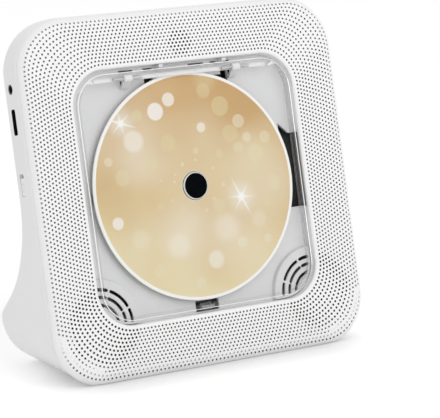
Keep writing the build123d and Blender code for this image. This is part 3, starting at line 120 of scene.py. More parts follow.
# ---------------------------------------------------------------- places on the face
def place(u, v, w):
    """World point in metres of a point given on the leaning face."""
    return Vector((u / 1000, (v * SIN - w * COS - MIDDLE_Y) / 1000, (v * COS + w * SIN + FACE_HEIGHT) / 1000))


def turn(u, v, w):
    """World direction of a direction given on the leaning face."""
    return Vector((u, v * SIN - w * COS, v * COS + w * SIN))


def on_face(point):
    """Face coordinates in millimetres of a world point."""
    y = point.y * 1000 + MIDDLE_Y
    z = point.z * 1000 - FACE_HEIGHT
    return point.x * 1000, y * SIN + z * COS, z * SIN - y * COS


def middle(corners):
    """Mean of some points."""
    return [sum(c[k] for c in corners) / len(corners) for k in range(3)]


def square_distance(u, v, half, corner):
    """Signed distance to a rounded square, with the outward direction."""
    x = abs(u) - (half - corner)
    y = abs(v) - (half - corner)
    if x > 0 and y > 0:
        length = math.hypot(x, y)
        return length - corner, math.copysign(x / length, u), math.copysign(y / length, v)
    if x > y:
        return x - corner, math.copysign(1, u), 0.0
    return y - corner, 0.0, math.copysign(1, v)


def square_length(half, corner):
    """Length of a rounded square's outline."""
    return 8 * (half - corner) + 2 * math.pi * corner


def square_point(half, corner, distance):
    """Point on a rounded square, by distance along it from the middle of its right side."""
    straight = half - corner
    quarter = 2 * straight + math.pi * corner / 2
    step = int(distance // quarter)
    along = distance - step * quarter
    if along <= straight:
        x, y = half, along
    elif along <= straight + math.pi * corner / 2:
        angle = (along - straight) / corner
        x = straight + corner * math.cos(angle)
        y = straight + corner * math.sin(angle)
    else:
        x = straight - (along - straight - math.pi * corner / 2)
        y = half
    for _ in range(step % 4):
        x, y = -y, x
    return x, y


def square_loop(half, corner, count):
    """Evenly spaced points round a rounded square."""
    length = square_length(half, corner)
    return [square_point(half, corner, i * length / count) for i in range(count)]


def skin_depth(u, v):
    """Depth and normal of the front skin, which doesn't stand proud of the case's foremost line."""
    depth, normal = rolled_depth(u, v)
    return min(depth, (v * SIN + FRONT_REACH) / COS), normal


def rolled_depth(u, v):
    """Depth and normal of the face: flat, rolled down at the window and at the outer edge."""
    out, x, y = square_distance(u, v, FLAT_HALF, FLAT_CORNER)
    if out > 0:
        out = min(out, EDGE_RADIUS * NEARLY)
        up = math.sqrt(EDGE_RADIUS ** 2 - out ** 2)
        return up - EDGE_RADIUS, (x * out / EDGE_RADIUS, y * out / EDGE_RADIUS, up / EDGE_RADIUS)
    roll = WINDOW_HALF + WINDOW_ROLL
    inner, x, y = square_distance(u, v, roll, WINDOW_CORNER + WINDOW_ROLL)
    if inner < 0:
        reach = min(-inner, WINDOW_ROLL)
        up = math.sqrt(max(WINDOW_ROLL ** 2 - reach ** 2, 0.0))
        share = reach / WINDOW_ROLL
        return up - WINDOW_ROLL, (-x * share, -y * share, up / WINDOW_ROLL)
    return 0.0, (0.0, 0.0, 1.0)


def hole_centres():
    """Centre and row of every hole; the holes of each second row stand between those of its neighbours."""
    centres = []
    for row in range(HOLE_ROWS):
        share = row / (HOLE_ROWS - 1)
        half = INNER_ROW[0] + share * (OUTER_ROW[0] - INNER_ROW[0])
        corner = INNER_ROW[1] + share * (OUTER_ROW[1] - INNER_ROW[1])
        count = INNER_ROW_COUNT + ROW_GROWTH * row
        length = square_length(half, corner)
        for i in range(count):
            centres.append((*square_point(half, corner, (i + 0.5 * (row % 2)) * length / count), row))
    return centres


def is_open(u, v):
    """Whether a hole goes through the wall, for a speaker or the remote control's receiver."""
    if math.hypot(abs(u) - SPEAKER[0], v - SPEAKER[1]) < SPEAKER_ZONE:
        return True
    return math.hypot(u - RECEIVER[0], v - RECEIVER[1]) < RECEIVER_ZONE


def mouth_radius(u, v):
    """Radius of a hole where it meets the skin."""
    return MOUTH_RADIUS if is_open(u, v) else HOLE_RADIUS


# ---------------------------------------------------------------- nodes
def material(name):
    """A new node material that holds only its output."""
    made = bpy.data.materials.new(name)
    made.use_nodes = True
    tree = made.node_tree
    tree.nodes.clear()
    output = tree.nodes.new("ShaderNodeOutputMaterial")
    return made, tree, output


def add(tree, kind, **values):
    """A new node with some of its settings."""
    node = tree.nodes.new(kind)
    for key, value in values.items():
        setattr(node, key, value)
    return node


def maths(tree, operation, *values):
    """Result of a sum; each value is a float or another node's output."""
    node = add(tree, "ShaderNodeMath", operation=operation)
    for socket, value in zip(node.inputs, values):
        if isinstance(value, float):
            socket.default_value = value
        else:
            tree.links.new(value, socket)
    return node.outputs[0]


def vectors(tree, operation, first, second=None, output="Vector"):
    """Result of a sum with vectors; the second one is three numbers."""
    node = add(tree, "ShaderNodeVectorMath", operation=operation)
    tree.links.new(first, node.inputs[0])
    if second:
        node.inputs[1].default_value = second
    return node.outputs[output]


def ranged(tree, source, low, high, start=0.3, end=0.7):
    """A value scaled so that start becomes low and end becomes high."""
    node = add(tree, "ShaderNodeMapRange")
    node.inputs["From Min"].default_value = start
    node.inputs["From Max"].default_value = end
    node.inputs["To Min"].default_value = low
    node.inputs["To Max"].default_value = high
    tree.links.new(source, node.inputs["Value"])
    return node.outputs["Result"]


def two_colours(tree, factor, first, second):
    """Mix of two colours; the first may be another node's output."""
    node = add(tree, "ShaderNodeMix", data_type="RGBA")
    tree.links.new(factor, node.inputs["Factor"])
    if isinstance(first, tuple):
        node.inputs["A"].default_value = (*first, 1)
    else:
        tree.links.new(first, node.inputs["A"])
    node.inputs["B"].default_value = (*second, 1)
    return node.outputs["Result"]


def grain(tree, scale, detail=3.0):
    """Noise in the piece's own coordinates."""
    where = add(tree, "ShaderNodeTexCoord")
    noise = add(tree, "ShaderNodeTexNoise")
    noise.inputs["Scale"].default_value = scale
    noise.inputs["Detail"].default_value = detail
    noise.inputs["Roughness"].default_value = 0.55
    tree.links.new(where.outputs["Object"], noise.inputs["Vector"])
    return noise


def clouded(tree, scale, first, second):
    """Colour that drifts between two colours in soft clouds."""
    clouds = grain(tree, scale)
    return two_colours(tree, ranged(tree, clouds.outputs["Fac"], 0, 1), first, second)


# ---------------------------------------------------------------- finishes
RELIEF = 0.00002              # height in metres of the fine texture
SCUFF_RANGE = 0.08            # how much rougher the scuffs of clear plastic are


def grey(value):
    """A neutral colour."""
    return (value, value, value)


def scaled(colour, share):
    """A colour made lighter, or darker where the share is negative."""
    return tuple(min(1.0, c * (1 + share)) for c in colour)


def finish(name, colour, rough, metal=0.0, vary=0.03, fine=2500.0, bump=0.02, coarse=60.0, rough_vary=0.06,
           specular=0.5, stretch=None):
    """A surface with slight colour clouding, uneven gloss and a fine texture."""
    made, tree, output = material(name)
    link = tree.links.new
    shader = add(tree, "ShaderNodeBsdfPrincipled")
    link(clouded(tree, coarse, scaled(colour, -vary), scaled(colour, vary / 2)), shader.inputs["Base Color"])
    texture = grain(tree, fine, detail=2.0)
    if stretch:
        squeeze = add(tree, "ShaderNodeMapping")
        squeeze.inputs["Scale"].default_value = stretch
        where = add(tree, "ShaderNodeTexCoord")
        link(where.outputs["Object"], squeeze.inputs["Vector"])
        link(squeeze.outputs["Vector"], texture.inputs["Vector"])
    gloss = ranged(tree, texture.outputs["Fac"], rough - rough_vary, rough + rough_vary)
    link(gloss, shader.inputs["Roughness"])
    lift = add(tree, "ShaderNodeBump")
    lift.inputs["Strength"].default_value = bump
    lift.inputs["Distance"].default_value = RELIEF
    link(texture.outputs["Fac"], lift.inputs["Height"])
    link(lift.outputs["Normal"], shader.inputs["Normal"])
    shader.inputs["Metallic"].default_value = metal
    shader.inputs["Specular IOR Level"].default_value = specular
    link(shader.outputs["BSDF"], output.inputs["Surface"])
    return made


def clear(name, tint, colour, straight, glancing, rough, start=0.0, glow=0.0):
    """Clear plastic: light goes through, and more of the surface is seen at a glancing angle.

    Straight on, the surface has the share straight. From the slant start on, this grows to glancing.
    """
    made, tree, output = material(name)
    link = tree.links.new
    through = add(tree, "ShaderNodeBsdfTransparent")
    through.inputs["Color"].default_value = (*tint, 1)
    surface = add(tree, "ShaderNodeBsdfPrincipled")
    link(clouded(tree, 250.0, colour, scaled(colour, 0.04)), surface.inputs["Base Color"])
    scuffs = grain(tree, 900.0, detail=4.0)
    link(ranged(tree, scuffs.outputs["Fac"], rough, rough + SCUFF_RANGE), surface.inputs["Roughness"])
    # glow lets the surface give off light of its own, a painted highlight
    surface.inputs["Emission Color"].default_value = (1, 1, 1, 1)
    surface.inputs["Emission Strength"].default_value = glow
    facing = add(tree, "ShaderNodeLayerWeight")
    facing.inputs["Blend"].default_value = 0.5
    blend = add(tree, "ShaderNodeMixShader")
    link(ranged(tree, facing.outputs["Facing"], straight, glancing, start, 1.0), blend.inputs["Fac"])
    link(through.outputs["BSDF"], blend.inputs[1])
    link(surface.outputs["BSDF"], blend.inputs[2])
    link(blend.outputs["Shader"], output.inputs["Surface"])
    return made


# case
SHELL = finish("moulded_white_shell", grey(0.93), 0.34, vary=0.01, fine=1800, bump=0.15, rough_vary=0.05)
# painted shade in the holes: the dimples' white plastic is painted grey, paler in the two shallow outer rows,
# and the open holes' walls near black
DIMPLE_SHADE = finish("dimple_painted_shade", grey(0.34), 0.5, vary=0.05)
DIMPLE_EDGE_SHADE = finish("dimple_next_row_painted_shade", grey(0.52), 0.5, vary=0.05)
DIMPLE_LAST_SHADE = finish("dimple_outer_row_painted_shade", grey(0.68), 0.5, vary=0.05)
HOLE_SHADE = finish("open_hole_shade", grey(0.02), 0.8, vary=0.2, specular=0.1)
DECK = finish("satin_deck", grey(0.745), 0.38, vary=0.015, fine=2200, bump=0.12)
# painted shade: the deep finger cups are painted dark grey for the shade inside them
CUP_SHADE = finish("finger_cup_painted_shade", grey(0.06), 0.5, vary=0.1, fine=2600, bump=0.2)
POCKET_GREY = finish("catch_pocket_shade", grey(0.10), 0.5, vary=0.05)
# painted shade: the flat socket and the white walls of its slot are painted near black
SOCKET_SHADE = finish("socket_in_shade", grey(0.015), 0.5, metal=0.3, vary=0.2, specular=0.1)
SWITCH_GREY = finish("switch_body_grey", grey(0.75), 0.5, vary=0.05)
SWITCH_WHITE = finish("switch_knob_white", grey(0.98), 0.25, vary=0.01)

# lid and its hinge
LID_CLEAR = clear("clear_lid", tint=(0.986, 0.987, 0.988), colour=grey(0.80), straight=0.0, glancing=0.42,
                  rough=0.05, start=0.45)
LID_WALL = clear("lid_rim_wall", tint=(0.94, 0.94, 0.945), colour=grey(0.66), straight=0.05, glancing=0.32,
                 rough=0.05)
# painted highlights: the plate's rounded edge is nearly opaque white and glows a little, much more on the
# right side
LID_RIM_HIGHLIGHT = clear("lid_rim_painted_highlight", tint=grey(0.98), colour=grey(0.98), straight=0.9, glancing=0.9, rough=0.15,
                glow=0.12)
LID_SIDE_HIGHLIGHT = clear("lid_side_painted_highlight", tint=grey(0.98), colour=grey(0.98), straight=0.95, glancing=0.95,
                 rough=0.15, glow=1.3)
LID_ROD = clear("lid_hinge_rod", tint=grey(0.92), colour=grey(0.95), straight=0.9, glancing=0.3, rough=0.08)
BRACKET_CLEAR = clear("milky_bracket", tint=grey(0.97), colour=grey(0.92), straight=0.75, glancing=0.95,
                      rough=0.2)

# turntable and disc
# matt black of the hub's cap, also painted in the hinge brackets' openings as shade
HUB_BLACK_AND_SHADE = finish("hub_black_and_painted_shade", (0.002, 0.003, 0.004), 0.7, vary=0.2, specular=0.02)
HUB_RING = finish("hub_light_ring", (0.88, 0.87, 0.83), 0.35, vary=0.02)
DISC_WHITE = finish("disc_white_base", (0.97, 0.97, 0.94), 0.3, vary=0.01)
DISC_POLYCARBONATE = finish("disc_polycarbonate", (0.78, 0.72, 0.58), 0.15, vary=0.02)
DISC_FILM = finish("disc_recorded_side", (0.62, 0.62, 0.66), 0.08, metal=1.0, vary=0.05)

# what each slot of the record looks like
SLOT_FINISHES = {
    "white_shell": SHELL,
    "deck_white": DECK,
    "clear_plastic": LID_CLEAR,
    "black_plastic": finish("satin_black_plastic", (0.02, 0.02, 0.022), 0.42, vary=0.2, fine=2600, bump=0.2),
    "gear_white": finish("acetal_gear", (0.72, 0.71, 0.66), 0.4, vary=0.04),
    "disc_print": finish("disc_base", (0.75, 0.62, 0.42), 0.25),
    "black_rubber": finish("black_rubber_finish", grey(0.025), 0.75, vary=0.2, bump=0.4),
    "grey_rubber": finish("grey_rubber_finish", grey(0.42), 0.75, vary=0.1, bump=0.4),
    "plain_steel": finish("zinc_plated_steel", (0.55, 0.55, 0.56), 0.35, metal=1.0, vary=0.08,
                          rough_vary=0.1),
    "black_screw": finish("black_oxide", grey(0.03), 0.45, metal=0.6, vary=0.2),
    "polished_steel": finish("polished_rod", grey(0.72), 0.12, metal=1.0, vary=0.03, stretch=(1, 40, 40)),
    "speaker_steel": finish("lacquered_basket", grey(0.035), 0.3, vary=0.2),
    "magnet": finish("sintered_magnet", (0.12, 0.12, 0.125), 0.5, metal=0.5, vary=0.2, bump=0.3),
    "cone_paper": finish("pulp_cone", grey(0.20), 0.85, vary=0.3, fine=1500, bump=0.6),
    "lens_glass": clear("coated_lens", tint=(0.6, 0.7, 0.95), colour=(0.3, 0.35, 0.6), straight=0.3,
                        glancing=0.9, rough=0.03),
    "circuit_board": finish("solder_mask", (0.02, 0.14, 0.06), 0.35, vary=0.3, coarse=400),
    "flex_film": finish("amber_film", (0.55, 0.36, 0.12), 0.3, vary=0.1),
    "dark_window": finish("infrared_window", (0.02, 0.012, 0.015), 0.15, vary=0.1),
}

# pieces that differ from their slot
PIECE_FINISHES = {
    "hinge_brackets": BRACKET_CLEAR,
    "hinge_pins": SWITCH_WHITE,
    "finger_cup_side": CUP_SHADE,
    "finger_cup_top": CUP_SHADE,
    "catch_housing": POCKET_GREY,
    "usb_socket": SOCKET_SHADE,
    "switch_body": SWITCH_GREY,
    "power_switch": SWITCH_WHITE,
}

slot_of = {piece["node"]: piece["material_slot"] for piece in frame["record"]["subparts"]}
for name, node in frame["nodes"].items():
    chosen = PIECE_FINISHES.get(name, SLOT_FINISHES[slot_of[name]])
    if not node.material_slots:
        node.data.materials.append(chosen)
    for material_slot in node.material_slots:
        material_slot.material = chosen


# ---------------------------------------------------------------- mesh help
def build(name, points, faces, finishes, face_finish=None, normals=None, smooth=True, body="casing"):
    """A new piece that rides on a body; face_finish holds the number of each face's finish."""
    mesh = bpy.data.meshes.new(name)
    mesh.from_pydata([tuple(p) for p in points], [], faces)
    for item in finishes:
        mesh.materials.append(item)
    if face_finish:
        mesh.polygons.foreach_set("material_index", face_finish)
    mesh.polygons.foreach_set("use_smooth", [smooth] * len(mesh.polygons))
    mesh.validate()
    mesh.update()
    if normals:
        mesh.normals_split_custom_set_from_vertices([tuple(n) for n in normals])
    made = bpy.data.objects.new(name, mesh)
    bpy.context.collection.objects.link(made)
    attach(made, body)
    return made


# ---------------------------------------------------------------- front skin with its perforation
def hole_ring(u, v, radius):
    """Corners of a hole's rim."""
    angles = [2 * math.pi * (k + 0.5) / HOLE_SIDES for k in range(HOLE_SIDES)]
    return [(u + radius * math.cos(a), v + radius * math.sin(a)) for a in angles]


def skin_point(u, v):
    """World point on the skin, which ends at the case's bottom."""
    point = place(u, v, skin_depth(u, v)[0])
    return Vector((point.x, point.y, max(point.z, CASE_BOTTOM / 1000)))


def holes_by_cell(centres):
    """Hole centres by the square that they are in, to find those near a point."""
    cells = {}
    for u, v, _ in centres:
        cells.setdefault((int(u // CELL), int(v // CELL)), []).append((u, v))
    return cells


def clear_of_holes(u, v, cells):
    """Whether a point lies outside every hole, with a little room."""
    for a in (-1, 0, 1):
        for b in (-1, 0, 1):
            for x, y in cells.get((int(u // CELL) + a, int(v // CELL) + b), ()):
                if math.hypot(u - x, v - y) < MOUTH_RADIUS + HOLE_ROOM:
                    return False
    return True


def bend_points(centres):
    """Points in rings where the skin bends, at the window and at the outer edge."""
    points = []
    for step in range(1, ROLL_STEPS + 1):
        reach = WINDOW_ROLL * math.cos(math.radians(90 * step / ROLL_STEPS))
        half = WINDOW_HALF + WINDOW_ROLL - reach
        points += square_loop(half, WINDOW_CORNER + WINDOW_ROLL - reach, WINDOW_POINTS)
    cells = holes_by_cell(centres)
    for step in range(EDGE_STEPS):
        reach = EDGE_RADIUS * math.sin(math.radians(EDGE_STEP * step))
        ring = square_loop(FLAT_HALF + reach, FLAT_CORNER + reach, SEAM_POINTS)
        points += [point for point in ring if clear_of_holes(*point, cells)]
    return points


def skin_net(centres):
    """Points and triangles in the plane of the face, between all holes, the window and the seam."""
    loops = [(hole_ring(u, v, mouth_radius(u, v)), hole) for hole, (u, v, _) in enumerate(centres)]
    loops.append((square_loop(WINDOW_HALF, WINDOW_CORNER, WINDOW_POINTS), NO_HOLE))
    loops.append((square_loop(FLAT_HALF + SEAM_REACH, FLAT_CORNER + SEAM_REACH, SEAM_POINTS), NO_HOLE))
    flat, owner, edges = [], [], []
    for points, hole in loops:
        start = len(flat)
        count = len(points)
        flat += points
        owner += [hole] * count
        edges += [(start + i, start + (i + 1) % count) for i in range(count)]
    free = bend_points(centres)
    flat += free
    owner += [NO_HOLE] * len(free)

    net = delaunay_2d_cdt([Vector(point) for point in flat], edges, [], 0, SAME_POINT)
    verts, _, faces, origins = net[:4]
    hole_of = []
    for sources in origins:
        holes = [owner[s] for s in sources if owner[s] != NO_HOLE]
        hole_of.append(holes[0] if holes else NO_HOLE)
    kept = []
    for face in faces:
        holes = {hole_of[i] for i in face}
        over_hole = len(holes) == 1 and holes != {NO_HOLE}
        u = sum(verts[i].x for i in face) / len(face)
        v = sum(verts[i].y for i in face) / len(face)
        in_window = square_distance(u, v, WINDOW_HALF - NET_SLACK, WINDOW_CORNER - NET_SLACK)[0] < 0
        if not over_hole and not in_window:
            kept.append(tuple(face))
    return verts, kept


def front_skin(centres):
    """The cover's outer skin, laid over the rolled and rounded edges of the face."""
    flat, faces = skin_net(centres)
    points = [skin_point(p.x, p.y) for p in flat]
    normals = [turn(*skin_depth(p.x, p.y)[1]) for p in flat]
    return build("front_skin", points, faces, [SHELL], normals=normals)


HOLE_PAINTED_SHADES = [DIMPLE_SHADE, DIMPLE_EDGE_SHADE, DIMPLE_LAST_SHADE, HOLE_SHADE]


def hole_painted_shade(u, v, row):
    """Painted shade of each hole: open holes near black, dimples grey, the outer two rows of dimples paler
    than the rest, except at the bottom.
    """
    if is_open(u, v):
        return HOLE_SHADE
    if v >= BOTTOM_ROWS and row == HOLE_ROWS - 2:
        return DIMPLE_EDGE_SHADE
    if v >= BOTTOM_ROWS and row == HOLE_ROWS - 1:
        return DIMPLE_LAST_SHADE
    return DIMPLE_SHADE


def hole_walls(centres):
    """Walls of all holes, and the pointed floors of the dimples, in the painted shade of their hole."""
    points, faces, marks = [], [], []
    for u, v, row in centres:
        opened = is_open(u, v)
        mark = HOLE_PAINTED_SHADES.index(hole_painted_shade(u, v, row))
        start = len(points)
        points += [skin_point(x, y) for x, y in hole_ring(u, v, mouth_radius(u, v))]
        bottom = -GRILLE if opened else skin_depth(u, v)[0] - DIMPLE_DEPTH
        points += [place(x, y, bottom) for x, y in hole_ring(u, v, HOLE_RADIUS)]
        for k in range(HOLE_SIDES):
            n = (k + 1) % HOLE_SIDES
            faces.append((start + n, start + k, start + HOLE_SIDES + k, start + HOLE_SIDES + n))
            marks.append(mark)
        if opened:
            continue
        tip = len(points)
        points.append(place(u, v, bottom - DIMPLE_CONE))
        for k in range(HOLE_SIDES):
            n = (k + 1) % HOLE_SIDES
            faces.append((start + HOLE_SIDES + k, tip, start + HOLE_SIDES + n))
            marks.append(mark)
    return build("front_hole_walls", points, faces, HOLE_PAINTED_SHADES, marks, smooth=False)


SKIN_GAP = 0.03               # corners of the CAD piece this close to the skin lie on it
WINDOW_SLACK = 0.01           # room for rounding where its corners are compared with the window's edge
SEAM_SLACK = 0.001            # with the seam
WALL_SLACK = 0.02             # and with the inner side of the wall
HOLE_FACE = 1.2               # reach of the widest face in an open hole
LIP_ROOM = 1.6                # such faces begin this far outside the window


def cover_inside():
    """The rest of the cover, taken over from the CAD piece: window lip, inner skin, ribs and screw posts."""
    mesh = frame["nodes"]["front_cover"].data
    points = [vertex.co.copy() for vertex in mesh.vertices]
    local = [on_face(point) for point in points]
    on_skin = []
    for u, v, w in local:
        outside = square_distance(u, v, WINDOW_HALF - WINDOW_SLACK, WINDOW_CORNER)[0] > 0
        above_seam = w > -SEAM_DEPTH - SEAM_SLACK
        on_skin.append(outside and above_seam and abs(w - skin_depth(u, v)[0]) < SKIN_GAP)
    faces = []
    for polygon in mesh.polygons:
        ids = list(polygon.vertices)
        u, v, w = middle([local[i] for i in ids])
        wide = max(math.hypot(local[i][0] - u, local[i][1] - v) for i in ids)
        in_wall = w > -WALL - WALL_SLACK and wide < HOLE_FACE and any(on_skin[i] for i in ids)
        past_lip = square_distance(u, v, WINDOW_HALF + LIP_ROOM, WINDOW_CORNER + LIP_ROOM)[0] > 0
        in_open_hole = in_wall and past_lip and is_open(u, v)
        if not all(on_skin[i] for i in ids) and not in_open_hole:
            faces.append(ids)
    return build("front_cover_inside", points, faces, [SHELL], smooth=False)


centres = hole_centres()
for made in (front_skin(centres), hole_walls(centres), cover_inside()):
    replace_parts(made, "front_cover")


# ---------------------------------------------------------------- CAD pieces with a finish for each region
STEEP = 0.95                  # a face with less flatness than this is steep


def dressed(node, made_name, choose, finishes, body):
    """The CAD piece's own faces, each with the finish that choose picks from its corners and flatness.

    Flatness is one for a face that lies parallel to the front of the case, and nought for one square to it.
    """
    source = frame["nodes"][node].data
    points = [vertex.co.copy() for vertex in source.vertices]
    local = [on_face(point) for point in points]
    faces, marks = [], []
    for polygon in source.polygons:
        ids = list(polygon.vertices)
        normal = polygon.normal
        flatness = abs(normal.z * SIN - normal.y * COS)
        faces.append(ids)
        marks.append(finishes.index(choose([local[i] for i in ids], flatness)))
    made = build(made_name, points, faces, finishes, marks, smooth=False, body=body)
    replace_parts(made, node)


ROD_REACH = 1.35              # faces this close to the hinge line are its rod
LID_EDGE_DEPTH = 0.83         # the plate's rounded edge ends this deep
LID_EDGE_FLAT = 0.985         # and a face with less flatness than this belongs to it
LID_SIDE_LINE = 63.0          # right of this the edge gets a brighter, glowing painted highlight
LID_SIDE_FOOT = -50.0         # down to here
LID_UNDER = -1.65             # a face deeper than this is the skirt's
LID_TOP = 56.0                # unless it is higher up than this, at the hinge


def lid_finish(corners, flatness):
    """Plate clear, skirt nearly so, the rounded edge of the plate a painted highlight, hinge rod milky."""
    u, v, w = middle(corners)
    if all(math.hypot(c[1] - HINGE_V, c[2] - HINGE_W) < ROD_REACH for c in corners):
        return LID_ROD
    if w > -LID_EDGE_DEPTH and flatness < LID_EDGE_FLAT:
        return LID_SIDE_HIGHLIGHT if u > LID_SIDE_LINE and v > LID_SIDE_FOOT else LID_RIM_HIGHLIGHT
    if flatness < STEEP or (w < LID_UNDER and v < LID_TOP):
        return LID_WALL
    return LID_CLEAR


CAP_RADIUS = 6.6              # the chamfer of the turntable's cap begins outside this
CAP_CHAMFER_FOOT = -3.35      # and ends above this


def hub_finish(corners, flatness):
    """Light chamfer round the black cap of the turntable."""
    reach = min(math.hypot(c[0] - DISC_CENTRE[0], c[1] - DISC_CENTRE[1]) for c in corners)
    lowest = min(c[2] for c in corners)
    return HUB_RING if lowest > CAP_CHAMFER_FOOT and reach > CAP_RADIUS and flatness < STEEP else HUB_BLACK_AND_SHADE


# the slot for the flat socket, through the left side of the case
SLOT_MIDDLE = (44.55, -11.05)    # v and w
SLOT_HALF = (6.68, 2.18)
SLOT_LEFT = -95.2
SLOT_RIGHT = -92.6


def shell_finish(corners, _):
    """The walls of the slot in front of the flat socket are painted black as shade."""
    u, v, w = middle(corners)
    in_slot = abs(v - SLOT_MIDDLE[0]) < SLOT_HALF[0] and abs(w - SLOT_MIDDLE[1]) < SLOT_HALF[1]
    return SOCKET_SHADE if in_slot and SLOT_LEFT < u < SLOT_RIGHT else SHELL


# the opening of each hinge bracket, along v and w, painted black as shade
OPENING_LOW = HINGE_V - 4.05
OPENING_HIGH = HINGE_V - 0.95
OPENING_BACK = -6.85
OPENING_FRONT = -4.35


def bracket_finish(corners, _):
    """The faces of each hinge bracket's opening are painted black as deep shade."""
    shaded = all(OPENING_LOW < c[1] < OPENING_HIGH and OPENING_BACK < c[2] < OPENING_FRONT for c in corners)
    return HUB_BLACK_AND_SHADE if shaded else BRACKET_CLEAR


dressed("lid", "lid_shell", lid_finish, [LID_CLEAR, LID_WALL, LID_RIM_HIGHLIGHT, LID_ROD, LID_SIDE_HIGHLIGHT],
        "lid")
dressed("turntable", "turntable_shell", hub_finish, [HUB_BLACK_AND_SHADE, HUB_RING],
        "spindle")
dressed("rear_shell", "rear_shell_dressed", shell_finish, [SHELL, SOCKET_SHADE],
        "casing")
dressed("hinge_brackets", "hinge_brackets_dressed", bracket_finish, [BRACKET_CLEAR, HUB_BLACK_AND_SHADE],
        "casing")

